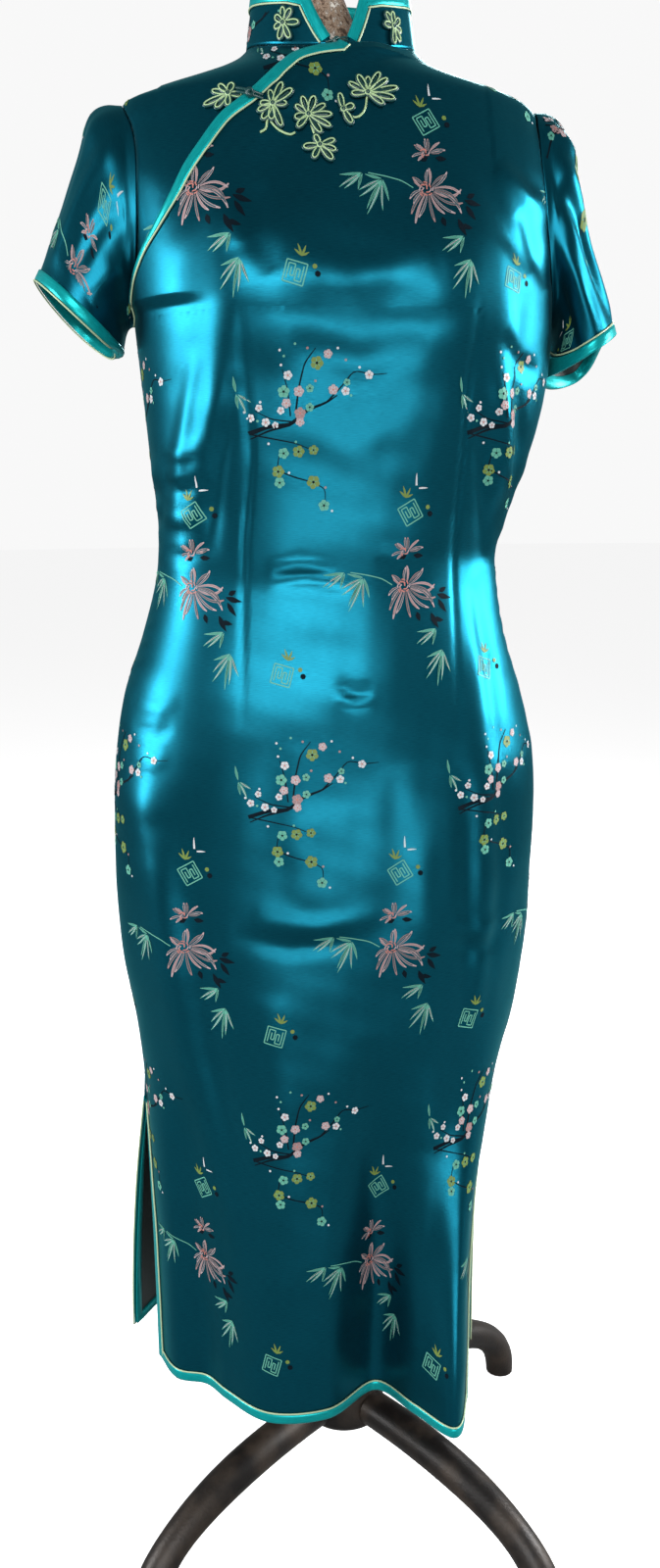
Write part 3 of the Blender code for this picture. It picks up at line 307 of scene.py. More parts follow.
def creaseRise(creases, x, h):
    # How far the creases lift the cloth at places given in metres.
    total = np.zeros(np.shape(x))
    for line, width, rise in creases:
        best = np.full(np.shape(x), 9.0)
        along = np.zeros(np.shape(x))
        count = len(line) - 1
        for k, ((ax, ah), (bx, bh)) in enumerate(zip(line, line[1:])):
            dx, dh = bx - ax, bh - ah
            t = np.clip(((x - ax) * dx + (h - ah) * dh) / (dx * dx + dh * dh), 0, 1)
            away = np.hypot(x - ax - t * dx, h - ah - t * dh)
            along = np.where(away < best, (k + t) / count, along)
            best = np.minimum(best, away)
        fade = np.sin(np.pi * np.clip(along, 0, 1)) ** 0.6
        total += rise * fade * np.exp(-((best / width) ** 2))
    return total * dress["creaseDepth"]


def seamPuckers(u, h):
    # Small puckers beside the seams, uneven in height and strongest from the waist to the hips.
    near = np.exp(-(((u - 0.045) / 0.035) ** 2)) + 0.5 * np.exp(-(((u - 0.955) / 0.035) ** 2))
    span = ease((h - 0.66) / 0.08) * ease((1.0 - h) / 0.08)
    return 0.0010 * near * span * np.sin(310 * h + 6 * np.sin(23 * h)) * (0.6 + 0.4 * np.sin(57 * h))


def unevenness(a, b):
    # A small irregular waviness over two directions in metres.
    return (0.00110 * np.sin(37 * a + 9 * b + 0.6) * np.sin(13 * a - 23 * b + 1.9)
            + 0.00042 * np.sin(73 * a - 37 * b + 2.3) * np.sin(29 * a + 47 * b)
            + 0.00010 * np.sin(171 * a + 96 * b) * np.sin(88 * a - 143 * b + 0.8))


def flapEdgeX(height):
    order = flapEdge[::-1]
    return np.interp(height, [h for x, h in order], [x for x, h in order])


def flapRaiseAt(x, height):
    away = np.where(height > flapEdge[0][1], np.abs(x), (x - flapEdgeX(height)) * 0.80)
    fade = 1 - ease((away - dress["underlap"] - 0.004) / 0.030)
    return dress["flapRaise"] * fade * ease((height - dress["underarm"] - 0.003) / 0.012)


def panelSurface(side, kind):
    # The cloth's outer face over (share, height), lifted by its raise, creases and waviness.
    creases = [(np.array(line) / 1000, width / 1000, rise / 1000)
               for line, width, rise in (frontCreases if side == "front" else backCreases)]

    def surface(u, h, lift=0.0):
        base = lookUp(side, u, h)
        x = base[..., 0]
        rise = unevenness(x + 0.3 * base[..., 1], h)
        if kind == "under":
            rise = rise - dress["underSink"]
        else:
            rise = rise + creaseRise(creases, x, h) + seamPuckers(u, h)
        calm = ease((h - dress["hem"]) / 0.05) * ease(u / 0.05) * ease((1 - u) / 0.05)
        calm = calm * (1 - ease((h - 1.105) / 0.05) * (np.abs(x + 0.01) < 0.12))
        rise = rise * (0.12 + 0.88 * calm)
        if kind == "flap":
            rise = rise + flapRaiseAt(x, h)
        return base + bodyNormal(side, u, h) * np.asarray(rise + lift)[..., None]

    return surface


def neckPlace(angle):
    x = -dress["neckHalfWidth"] * math.cos(angle)
    s = math.sin(angle)
    y = -dress["neckFront"] * s if s > 0 else -dress["neckBack"] * s
    side = "front" if s >= 0 else "back"
    low, high = 1.19, 1.255
    for _ in range(24):
        h = (low + high) / 2
        n = float(section["square"](h))
        reach = float(section["left" if x < 0 else "right"](h))
        filled = (abs(x) / reach) ** n + (abs(y) / float(section[side](h))) ** n
        low, high = (h, high) if filled < 1 else (low, h)
    return side, shareAt(side, x, y, low), low


def armholePlace(hand, angle):
    middle = (dress["shoulderTip"] + dress["underarm"]) / 2
    height = middle + (dress["shoulderTip"] - dress["underarm"]) / 2 * math.cos(angle)
    s = math.sin(angle)
    side = "front" if s >= 0 else "back"
    y = -dress["armholeFront"] * s if s >= 0 else -dress["armholeBack"] * s
    n = float(section["square"](height))
    x = float(section[hand](height)) * (1 - (abs(y) / float(section[side](height))) ** n) ** (1 / n)
    if hand == "left":
        x = -x
    return side, shareAt(side, x, y, height), height


def flapPlace(share, inset=0.0):
    x, h = np.array(flapEdge).T
    chord = np.concatenate([[0], np.cumsum(np.hypot(np.diff(x), np.diff(h)))])
    xAt, hAt = smoothCurve(chord, x), smoothCurve(chord, h)
    along = chord[-1] * share
    before, after = along - 0.002, along + 0.002
    run = np.array([float(xAt(after) - xAt(before)), float(hAt(after) - hAt(before))])
    run = run / np.hypot(*run)
    height = float(hAt(along)) + run[0] * inset
    return shareFromX(float(xAt(along)) - run[1] * inset, height), height


def blendPlaces(a, b, t):
    return tuple(a[k] + (b[k] - a[k]) * t for k in (0, 1))


def frontEnds(j):
    # Left and right ends of the front's row j: neck to 5, flap to 13, tail to the underarm at 16.
    right = armholePlace("right", math.pi * j / 16)[1:]
    if j <= 5:
        return neckPlace(math.pi - math.pi / 2 * j / 5)[1:], right
    if j <= 13:
        return flapPlace((j - 5) / 8), right
    u, h = armholePlace("left", math.pi * j / 16)[1:]
    tail = (u + 0.006 * (16 - j) / 3, h)
    return blendPlaces(flapPlace(1.0), tail, float(ease((j - 13) / 1.0))), right


def underEnds(j):
    left = armholePlace("left", math.pi * j / 16)[1:]
    if j <= 5:
        return left, neckPlace(math.pi / 2 * min(j, 4.85) / 5)[1:]
    return left, blendPlaces(neckPlace(math.pi / 2 * 0.97)[1:], flapPlace((j - 5) / 8, dress["underlap"]),
                             float(ease((j - 5) / 1.0)))


def backRow(j, count):
    left = armholePlace("left", -math.pi * j / 16)[1:]
    right = armholePlace("right", -math.pi * j / 16)[1:]
    t = np.linspace(0, 1, count + 1)
    u = left[0] + (right[0] - left[0]) * t
    h = left[1] + (right[1] - left[1]) * t
    weight = (1 - j / 16) ** 1.6
    return u + (backTop[:, 0] - u) * weight, h + (backTop[:, 1] - h) * weight


def makeBackTop(count):
    # The back's top edge: left shoulder, neck, right shoulder.
    tipLeft = armholePlace("left", 0.0)[2]
    tipRight = armholePlace("right", 0.0)[2]
    neckSide = neckPlace(0.0)[2]
    part = count * 4 // 18
    top = [(0.0, tipLeft + (neckSide - tipLeft) * k / part) for k in range(part)]
    middle = count - 2 * part
    top += [neckPlace(-math.pi * k / middle)[1:] for k in range(middle + 1)]
    top += [(1.0, neckSide + (tipRight - neckSide) * k / part) for k in range(1, part + 1)]
    return np.array(top)


print("sections and surfaces ready")


def setInputs(made, **values):
    for socket, value in values.items():
        made.inputs[socket.replace("_", " ")].default_value = value
    return made


def newMaterial(name, base, roughness, **values):
    material = bpy.data.materials.new(name)
    material.use_nodes = True
    shader = material.node_tree.nodes["Principled BSDF"]
    setInputs(shader, Base_Color=(*base, 1), Roughness=roughness, **values)
    return material


def colourRamp(node, *stops):
    ramp = node("ShaderNodeValToRGB")
    elements = ramp.color_ramp.elements
    while len(elements) < len(stops):
        elements.new(0.5)
    for element, (position, colour) in zip(elements, stops):
        element.position = position
        element.color = (*colour, 1)
    return ramp


def addBump(kit, height, strength, distance):
    node, link, shader = kit
    bump = setInputs(node("ShaderNodeBump"), Strength=strength, Distance=distance)
    link(height.outputs["Fac"], bump.inputs["Height"])
    link(bump.outputs[0], shader.inputs["Normal"])


def nodeKit(material):
    nodes = material.node_tree.nodes
    links = material.node_tree.links

    def node(kind, **settings):
        made = nodes.new(kind)
        for key, value in settings.items():
            setattr(made, key, value)
        return made

    return node, links.new, nodes["Principled BSDF"]


def satinMaterial(name, base, dark, roughness=0.31, metallic=0.88):
    # Satin: coloured shine along the weft, with fine cross threads.
    material = newMaterial(name, base, roughness, Metallic=metallic, Anisotropic=0.45, Sheen_Weight=0.04,
                           Sheen_Roughness=0.40, Sheen_Tint=(0.25, 0.9, 1.0, 1),
                           Specular_Tint=(0.30, 0.85, 0.90, 1))
    kit = node, link, shader = nodeKit(material)
    flat = node("ShaderNodeUVMap", uv_map="flat")
    tangent = node("ShaderNodeTangent", direction_type="UV_MAP", uv_map="flat")
    link(tangent.outputs[0], shader.inputs["Tangent"])
    stretch = setInputs(node("ShaderNodeMapping"), Scale=(160, 2600, 1))
    link(flat.outputs[0], stretch.inputs["Vector"])
    weft = setInputs(node("ShaderNodeTexNoise"), Scale=1.0, Detail=2)
    link(stretch.outputs[0], weft.inputs["Vector"])
    ramp = colourRamp(node, (0.25, dark), (0.70, base))
    link(weft.outputs["Fac"], ramp.inputs["Fac"])
    link(ramp.outputs["Color"], shader.inputs["Base Color"])
    addBump(kit, weft, 0.10, 0.0004)
    return material


def speckledMaterial():
    # The form's aged cover: brown and tan with pale flecks.
    material = newMaterial("aged form cover", (0.4, 0.3, 0.2), 0.72)
    kit = node, link, shader = nodeKit(material)
    place = node("ShaderNodeTexCoord")
    fine = setInputs(node("ShaderNodeTexNoise"), Scale=260, Detail=4, Roughness=0.75)
    broad = setInputs(node("ShaderNodeTexNoise"), Scale=60, Detail=5)
    for texture in (fine, broad):
        link(place.outputs["Object"], texture.inputs["Vector"])
    mix = node("ShaderNodeMath", operation="MULTIPLY_ADD")
    mix.inputs[1].default_value = 0.55
    link(broad.outputs["Fac"], mix.inputs[0])
    half = node("ShaderNodeMath", operation="MULTIPLY")
    half.inputs[1].default_value = 0.55
    link(fine.outputs["Fac"], half.inputs[0])
    link(half.outputs[0], mix.inputs[2])
    ramp = colourRamp(node, (0.44, (0.03, 0.018, 0.012)), (0.50, (0.13, 0.075, 0.045)),
                      (0.55, (0.34, 0.25, 0.18)), (0.585, (0.10, 0.065, 0.045)), (0.64, (0.62, 0.58, 0.52)))
    link(mix.outputs[0], ramp.inputs["Fac"])
    link(ramp.outputs["Color"], shader.inputs["Base Color"])
    addBump(kit, fine, 0.35, 0.001)
    return material


def ironMaterial():
    # Cast iron under old dark paint: brown-black, worn lighter in patches, slightly pitted.
    material = newMaterial("cast iron", (0.03, 0.022, 0.018), 0.42, Metallic=0.35)
    kit = node, link, shader = nodeKit(material)
    place = node("ShaderNodeTexCoord")
    wear = setInputs(node("ShaderNodeTexNoise"), Scale=34, Detail=8)
    pits = setInputs(node("ShaderNodeTexNoise"), Scale=420, Detail=3)
    for texture in (wear, pits):
        link(place.outputs["Object"], texture.inputs["Vector"])
    ramp = colourRamp(node, (0.42, (0.006, 0.0045, 0.004)), (0.72, (0.034, 0.024, 0.017)))
    link(wear.outputs["Fac"], ramp.inputs["Fac"])
    link(ramp.outputs["Color"], shader.inputs["Base Color"])
    rough = setInputs(node("ShaderNodeMapRange"), To_Min=0.30, To_Max=0.62)
    link(wear.outputs["Fac"], rough.inputs["Value"])
    link(rough.outputs[0], shader.inputs["Roughness"])
    addBump(kit, pits, 0.30, 0.0008)
    return material


satin = satinMaterial("teal satin", (0.003, 0.084, 0.124), (0.001, 0.054, 0.086))
satinBack = newMaterial("reverse of the brocade", (0.020, 0.030, 0.030), 0.55)
bindingSatin = satinMaterial("binding satin", (0.004, 0.330, 0.335), (0.001, 0.220, 0.230), 0.30, 0.50)
pipingCord = newMaterial("pale piping", (0.33, 0.42, 0.26), 0.42)
cordEdge = newMaterial("gold-green cord", (0.30, 0.43, 0.22), 0.40)
cordFill = newMaterial("dark green cord", (0.001, 0.034, 0.034), 0.36)
formCover = speckledMaterial()
iron = ironMaterial()
threadColours = dict(
    pink=(0.220, 0.140, 0.140), rose=(0.340, 0.130, 0.110), blush=(0.300, 0.230, 0.240),
    dusk=(0.030, 0.062, 0.074), white=(0.40, 0.43, 0.45), mint=(0.075, 0.270, 0.205),
    leaf=(0.020, 0.130, 0.100), yellow=(0.110, 0.165, 0.035),
)
threads = {kind: newMaterial(kind + " thread", colour, 0.5, Specular_IOR_Level=0.25)
           for kind, colour in threadColours.items()}
threads["dark"] = newMaterial("dark thread", (0.000, 0.004, 0.008), 0.7, Specular_IOR_Level=0.08)
threadNames = list(threads)


def setUv(mesh, flat):
    # Store flat places in metres as the map that the weave follows.
    layer = mesh.uv_layers.new(name="flat")
    corners = np.empty(len(mesh.loops), dtype=np.int32)
    mesh.loops.foreach_get("vertex_index", corners)
    layer.data.foreach_set("uv", flat[corners].astype(np.float32).ravel())


def addObject(name, data):
    thing = bpy.data.objects.new(name, data)
    bpy.context.scene.collection.objects.link(thing)
    return thing


def standIn(thing, node):
    # The piece takes the place of a node, on the one body.
    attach(thing, "root")
    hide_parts(node)


def selectOnly(thing):
    bpy.ops.object.select_all(action="DESELECT")
    thing.select_set(True)
    bpy.context.view_layer.objects.active = thing


def clothGrid(name, points, flat, materials, thickness):
    # A sheet of cloth on a grid of points (rows by columns), thickened inward.
    rows, columns = points.shape[:2]
    bpy.ops.mesh.primitive_grid_add(x_subdivisions=columns - 1, y_subdivisions=rows - 1, size=1)
    thing = bpy.context.object
    thing.name = name
    mesh = thing.data
    mesh.name = name
    place = np.empty(len(mesh.vertices) * 3, dtype=np.float32)
    mesh.vertices.foreach_get("co", place)
    place = place.reshape(-1, 3)
    column = np.rint((place[:, 0] + 0.5) * (columns - 1)).astype(int)
    row = np.rint((0.5 - place[:, 1]) * (rows - 1)).astype(int)
    mesh.vertices.foreach_set("co", points[row, column].astype(np.float32).ravel())
    while mesh.uv_layers:
        mesh.uv_layers.remove(mesh.uv_layers[0])
    setUv(mesh, flat[row, column])
    mesh.update()
    for material in materials:
        mesh.materials.append(material)
    mesh.shade_smooth()
    outward = np.array([mesh.polygons[k].normal for k in range(0, len(mesh.polygons), 97)])
    centre = np.array([mesh.polygons[k].center for k in range(0, len(mesh.polygons), 97)])
    tube = name.startswith("sleeve")
    hub = points.reshape(-1, 3).mean(axis=0) if tube else np.zeros(3)
    toward = (centre - hub) * np.array([1, 1, 1 if tube else 0])
    if (outward * toward).sum() < 0:
        mesh.flip_normals()
    shell = thing.modifiers.new("Thickness", "SOLIDIFY")
    shell.thickness = thickness
    shell.offset = -1
    shell.material_offset = 1
    selectOnly(thing)
    bpy.ops.object.modifier_apply(modifier=shell.name)
    return thing


middles = {side: np.array([np.interp(0.0, row[:, 0], tableShares) for row in tables[side]])
           for side in tables}


def makePanel(name, surface, side, places):
    u, h = places[..., 0], places[..., 1]
    u = np.clip(u, dress["seamInset"], 1 - dress["seamInset"])
    girth = np.interp(h, tableHeights, girths[side])
    flat = np.stack([(u - np.interp(h, tableHeights, middles[side])) * girth, h], axis=-1)
    thing = clothGrid(name, surface(u, h), flat, [satin, satinBack], dress["thickness"])
    standIn(thing, name)
    print(name, "made")
    return thing, np.concatenate([flat[0], flat[1:, -1], flat[-1, -2::-1], flat[-2:0:-1, 0]])


frontSurface = panelSurface("front", "flap")
underSurface = panelSurface("front", "under")
backSurface = panelSurface("back", "plain")
upperRows = np.linspace(0, 16, int(96 * coarse) + 1)
lowerHeights = np.linspace(dress["underarm"], dress["hem"], int(180 * coarse) + 1)[1:]

columns = int(dress["frontColumns"] * coarse)
shares = np.linspace(0, 1, columns + 1)[:, None]
upper = [np.array(a) + (np.array(b) - np.array(a)) * shares for a, b in (frontEnds(j) for j in upperRows)]
lower = [np.column_stack([shares[:, 0], np.full(columns + 1, h)]) for h in lowerHeights]
front, frontOutline = makePanel("front_panel", frontSurface, "front", np.array(upper + lower))

shares = np.linspace(0, 1, 41)[:, None]
upper = [np.array(a) + (np.array(b) - np.array(a)) * shares for a, b in
         (underEnds(j) for j in np.linspace(0, 12, 61))]
under, underOutline = makePanel("under_front", underSurface, "front", np.array(upper))

columns = int(dress["backColumns"] * coarse) // 18 * 18
backTop = makeBackTop(columns)
upper = [np.column_stack(backRow(j, columns)) for j in upperRows]
lower = [np.column_stack([np.linspace(0, 1, columns + 1), np.full(columns + 1, h)]) for h in lowerHeights]
back, backOutline = makePanel("back_panel", backSurface, "back", np.array(upper + lower))


# Sleeves over (angle, share)
sleeve = dict(reach=0.052, drop=0.12, seamGap=0.003, columns=150, rows=60, crown=0.0050, dent=0.0060)
cuffs = dict(
    left=dict(x=-0.1965, y=0.006, height=1.0480, across=0.042, depth=0.060, tilt=math.radians(44),
              drop=0.006, swing=0.0),
    right=dict(x=0.1990, y=0.006, height=1.0160, across=0.031, depth=0.058, tilt=math.radians(33),
               drop=0.014, swing=0.018),
)
# A crease's places are (degrees from the shoulder through the front, share down the sleeve)
sleeveCreases = dict(
    left=[
        ([(60, 0.10), (52, 0.45), (44, 0.95)], 8, 2),
        ([(92, 0.15), (84, 0.50), (74, 0.90)], 8, -2.2),
        ([(20, 0.05), (14, 0.40), (22, 0.80)], 9, -1.6),
        ([(128, 0.10), (112, 0.50), (100, 0.90)], 7, 1.8),
        ([(-60, 0.10), (-70, 0.50), (-60, 0.95)], 9, 2.2),
        ([(-100, 0.20), (-96, 0.60), (-108, 0.90)], 8, -2.2),
        ([(-20, 0.20), (-26, 0.60), (-18, 0.90)], 8, 1.4),
    ],
    right=[
        ([(84, 0.12), (60, 0.50), (44, 0.98)], 7.5, -3),
        ([(66, 0.12), (46, 0.48), (30, 0.98)], 8, 2.6),
        ([(112, 0.10), (98, 0.50), (84, 0.95)], 8, 2.2),
        ([(134, 0.15), (124, 0.55), (116, 0.95)], 7, -2),
        ([(24, 0.05), (18, 0.35), (6, 0.70)], 8, -2),
        ([(44, 0.04), (36, 0.25), (24, 0.45)], 7, 1.8),
        ([(-50, 0.10), (-60, 0.50), (-52, 0.95)], 9, 2.2),
        ([(-96, 0.20), (-90, 0.60), (-100, 0.90)], 8, -2.2),
    ],
)
armTurns = np.radians(np.arange(-190, 191, 3))
armTables = {}
for hand in ("left", "right"):
    starts = []
    for angle in armTurns:
        side, u, h = armholePlace(hand, float(angle))
        starts.append(lookUp(side, np.array(u), np.array(h)))
    armTables[hand] = np.array(starts)


def sleeveSurface(hand):
    sign = -1 if hand == "left" else 1
    cuff = cuffs[hand]
    outer = np.array([sign * math.cos(cuff["tilt"]), 0, math.sin(cuff["tilt"])])
    middle = np.array([cuff["x"], cuff["y"], cuff["height"]])
    downward = np.array([sign * math.sin(cuff["tilt"]) * 0.55, 0, -math.cos(cuff["tilt"])])

    def bare(angle, share):
        s, c = np.sin(angle)[..., None], np.cos(angle)[..., None]
        start = np.stack([np.interp(angle, armTurns, armTables[hand][:, k]) for k in range(3)], axis=-1)
        start = start + np.array([sign * 0.0006, 0, 0])
        end = middle + outer * cuff["across"] * c
        behind = np.maximum(0, -s)
        sag = [sign * cuff["swing"] * behind**2, -cuff["depth"] * s, -cuff["drop"] * behind]
        end = end + np.concatenate(sag, axis=-1)
        top = (1 + c) / 2
        startPull = np.concatenate([sign * (0.008 + 0.027 * top), 0 * s, 0.003 * top], axis=-1)
        endPull = -downward * (0.006 + 0.066 * top)
        t = np.asarray(share)[..., None]
        return ((1 - t) ** 3 * start + 3 * (1 - t) ** 2 * t * (start + startPull)
                + 3 * (1 - t) * t**2 * (end + endPull) + t**3 * end)

    def surface(angle, share, lift=0.0):
        base = bare(angle, share)
        across = bare(angle + 0.02, share) - bare(angle - 0.02, share)
        along = bare(angle, share + 0.01) - bare(angle, share - 0.01)
        normal = unit(np.cross(across, along)) * sign
        reach, drop = sleeve["reach"], sleeve["drop"]
        creases = [([(math.radians(a) * reach, t * drop) for a, t in line], width / 1000, rise / 1000)
                   for line, width, rise in sleeveCreases[hand]]
        rise = creaseRise(creases, angle * reach, share * drop)
        rise = rise + unevenness(angle * reach + 0.4, share * drop)
        over = ((1 + np.cos(angle)) / 2) ** 2
        rise = rise + sleeve["crown"] * over * np.exp(-(((share - 0.24) / 0.15) ** 2))
        if hand == "right":
            outside = np.exp(-(((angle - 0.35) / 0.8) ** 2))
            rise = rise - sleeve["dent"] * outside * np.exp(-(((share - 0.62) / 0.20) ** 2))
        calm = ease(share / 0.10) * ease((1 - share) / 0.12) * ease((np.pi - np.abs(angle)) / 0.5)
        rise = rise * (0.1 + 0.9 * calm)
        return base + normal * np.asarray(rise + lift)[..., None]

    return surface


sleeves = {}
for hand in ("left", "right"):
    surface = sleeveSurface(hand)
    half = math.pi - sleeve["seamGap"]
    turns = np.linspace(-half, half, int(sleeve["columns"] * coarse) + 1)
    shares = np.linspace(0, 1, int(sleeve["rows"] * coarse) + 1)
    angle, share = np.meshgrid(turns, shares)
    flat = np.stack([angle * sleeve["reach"], 1.0 - share * sleeve["drop"]], axis=-1)
    thing = clothGrid("sleeve_" + hand, surface(angle, share), flat, [satin, satinBack], dress["thickness"])
    standIn(thing, "sleeve_" + hand)
    sleeves[hand] = surface
    print("sleeve_" + hand, "made")


# Collar over (angle, height)
collar = dict(height=0.036, lean=0.005, notchLeft=0.022, notchRight=0.016, columns=150, rows=16,
              flatReach=0.06, flatFoot=1.3)
neckTurns = np.radians(np.arange(-290, 111, 3))
neckTable = np.array([lookUp(p[0], np.array(p[1]), np.array(p[2])) for p in
                      (neckPlace(float(a)) for a in neckTurns)])


def collarSurface(angle, up, lift=0.0):
    foot = np.stack([np.interp(angle, neckTurns, neckTable[:, k]) for k in range(3)], axis=-1)
    inward = unit(-foot * np.array([1.0, 1.0, 0.0]))
    up = np.asarray(up)[..., None]
    point = foot + inward * collar["lean"] * up / collar["height"]
    wave = 0.0004 * np.sin(7 * angle + 0.5) * np.sin(3 * angle + 1.0)
    point = point - inward * np.asarray(lift + wave)[..., None]
    return point + np.concatenate([0 * up, 0 * up, up + 0.0005], axis=-1)


def collarEnds(up):
    # The angles of the collar's left and right front ends at a height.
    slope = (up / collar["height"]) ** 0.8
    left = math.pi / 2 - 0.035 - slope * collar["notchLeft"] / dress["neckFront"]
    right = -3 * math.pi / 2 + 0.035 + slope * collar["notchRight"] / dress["neckFront"]
    return left, right


ups = np.linspace(collar["height"], 0, collar["rows"] + 1)
angle = []
for up in ups:
    left, right = collarEnds(up)
    angle.append(np.linspace(left, right, int(collar["columns"] * coarse) + 1))
angle = np.array(angle)
up = np.repeat(ups[:, None], angle.shape[1], axis=1)
nearEnd = 1 - ease(np.minimum(np.abs(angle - angle[:, :1]), np.abs(angle - angle[:, -1:])) / 0.25)
up = up * (1 - 0.05 * (up / collar["height"]) ** 2 * nearEnd)
flat = np.stack([angle * collar["flatReach"], up + collar["flatFoot"]], axis=-1)
collarPiece = clothGrid("collar", collarSurface(angle, up), flat, [satin, satinBack], dress["thickness"])
standIn(collarPiece, "collar")
collarTop = np.stack([angle[0], up[0]], axis=-1)
print("collar made")


# Trims: strips and cords along an edge, in the (a, b) places of the surface that they lie on
trim = dict(width=0.0080, cover=0.86, gap=0.0003, thickness=0.0010, cord=0.0007, tuck=0.9)


def stripAlong(surface, path, inwardSign, profile, covers=None):
    # Sections of a strip: each profile point is a distance inside the edge and a lift over the cloth.
    path = np.array(path, dtype=float)
    a, b = path[:, 0], path[:, 1]
    here = surface(a, b)
    stepA, stepB = 0.004, 0.003
    ea = (surface(a + stepA, b) - surface(a - stepA, b)) / (2 * stepA)
    eb = (surface(a, b + stepB) - surface(a, b - stepB)) / (2 * stepB)
    normal = unit(np.cross(ea, eb))
    run = unit(here[1:] - here[:-1])
    middle = unit(normal[1:] + normal[:-1])
    side = unit(np.cross(middle, run)) * inwardSign
    before = np.concatenate([side[:1], side])
    after = np.concatenate([side, side[-1:]])
    mitre = (before + after) / (1 + (before * after).sum(axis=1, keepdims=True))
    m11, m12, m22 = (ea * ea).sum(1), (ea * eb).sum(1), (eb * eb).sum(1)
    r1, r2 = (ea * mitre).sum(1), (eb * mitre).sum(1)
    det = m11 * m22 - m12 * m12
    da, db = (r1 * m22 - r2 * m12) / det, (r2 * m11 - r1 * m12) / det
    lifted = surface(a, b, 0.001) - here
    sign = np.sign((lifted * normal).sum(axis=1, keepdims=True))
    scale = np.ones(len(a)) if covers is None else np.array(covers)
    rings = []
    for inside, lift in profile:
        inside = inside * scale if inside > 0 else np.full(len(a), inside)
        point = surface(a + da * inside, b + db * inside)
        rings.append(point + normal * sign * lift)
    return np.stack(rings, axis=1)


def bindingProfile(thickness, wrap=True):
    g, b, w = trim["gap"], trim["thickness"], trim["width"] * trim["cover"]
    r = b * 0.45
    top = [(w, g), (w - 0.0001, g + b * 0.5), (w - 0.0005, g + b * 0.85), (w * 0.6, g + b),
           (w * 0.2, g + b), (-g - b + r, g + b), (-g - b * 0.75, g + b * 0.75), (-g - b, g + b - r)]
    if not wrap:
        return top + [(-g - b, -thickness * 0.7), (-g, -thickness * 0.7), (-g, g)]
    low = -thickness
    return top + [(-g - b, low - g - b + r), (-g - b * 0.75, low - g - b * 0.75),
                  (-g - b + r, low - g - b), (w * 0.5, low - g - b), (w, low - g - b * 0.6), (w, low - g),
                  (w * 0.5, low - g), (-g, low - g), (-g, g), (w * 0.5, g)]


def sweepMesh(name, rings, material):
    # A tube through rows of equal rings, closed at both ends.
    stations, count = rings.shape[:2]
    k, m = np.meshgrid(np.arange(stations - 1), np.arange(count), indexing="ij")
    nextM = (m + 1) % count
    here, ahead = k * count, (k + 1) * count
    faces = np.stack([here + m, here + nextM, ahead + nextM, ahead + m], axis=-1)
    faces = faces.reshape(-1, 4).tolist()
    faces.append(list(range(count))[::-1])
    faces.append([(stations - 1) * count + i for i in range(count)])
    mesh = bpy.data.meshes.new(name)
    mesh.from_pydata(rings.reshape(-1, 3).tolist(), [], faces)
    thing = addObject(name, mesh)
    run = np.concatenate([[0], np.cumsum(np.linalg.norm(np.diff(rings[:, 0], axis=0), axis=1))])
    flat = np.stack([np.repeat(run, count), np.tile(np.arange(count) * 0.0015, stations)], axis=-1)
    setUv(mesh, flat)
    bm = bmesh.new()
    bm.from_mesh(mesh)
    bmesh.ops.recalc_face_normals(bm, faces=bm.faces)
    bm.to_mesh(mesh)
    bm.free()
    mesh.materials.append(material)
    mesh.shade_smooth()
    mesh.set_sharp_from_angle(angle=math.radians(55))
    return thing


def addTrim(name, surface, path, inwardSign, wrap=True, covers=None, pipingCovers=None, bound=None):
    # A binding and its piping along one edge.
    cut = slice(None, bound)
    rings = stripAlong(surface, path[cut], inwardSign, bindingProfile(dress["thickness"] + trim["gap"], wrap),
                       covers=None if covers is None else covers[cut])
    binding = sweepMesh("binding_" + name, rings, bindingSatin)
    inside = trim["width"] * trim["cover"] + trim["gap"] + trim["cord"] * trim["tuck"]
    middle = [(inside, trim["gap"] + trim["cord"])]
    centres = stripAlong(surface, path, inwardSign, middle, covers=pipingCovers)[:, 0]
    piping = cordAlong("piping_" + name, centres, trim["cord"], pipingCord)
    for thing, kind in ((binding, "binding"), (piping, "piping")):
        standIn(thing, kind + "_" + name)


def cordAlong(name, centres, radius, material, closed=False, resolution=2, shares=None):
    # A round cord through points, as a bevelled curve made a mesh; shares scale its radius along it.
    curve = bpy.data.curves.new(name, "CURVE")
    curve.dimensions = "3D"
    curve.bevel_depth = radius
    curve.bevel_resolution = resolution
    curve.use_fill_caps = not closed
    spline = curve.splines.new("POLY")
    spline.points.add(len(centres) - 1)
    rows = np.column_stack([centres, np.ones(len(centres))])
    spline.points.foreach_set("co", rows.astype(np.float32).ravel())
    spline.use_cyclic_u = closed
    if shares is not None:
        spline.points.foreach_set("radius", np.asarray(shares, dtype=np.float32))
    thing = addObject(name, curve)
    selectOnly(thing)
    bpy.ops.object.convert(target="MESH")
    thing = bpy.context.object
    thing.data.materials.clear()
    thing.data.materials.append(material)
    thing.data.shade_smooth()
    return thing


def panelEdge(step):
    # Down the left slit edge, along the hem and up the right slit edge, as (share, height).
    down = np.arange(dress["slitOpen"], dress["hem"], -step)
    across = np.linspace(0, 1, int(0.42 / step) + 1)
    path = [(0.0, h) for h in down]
    path += [(u, dress["hem"]) for u in across]
    path += [(1.0, h) for h in down[::-1]]
    return path


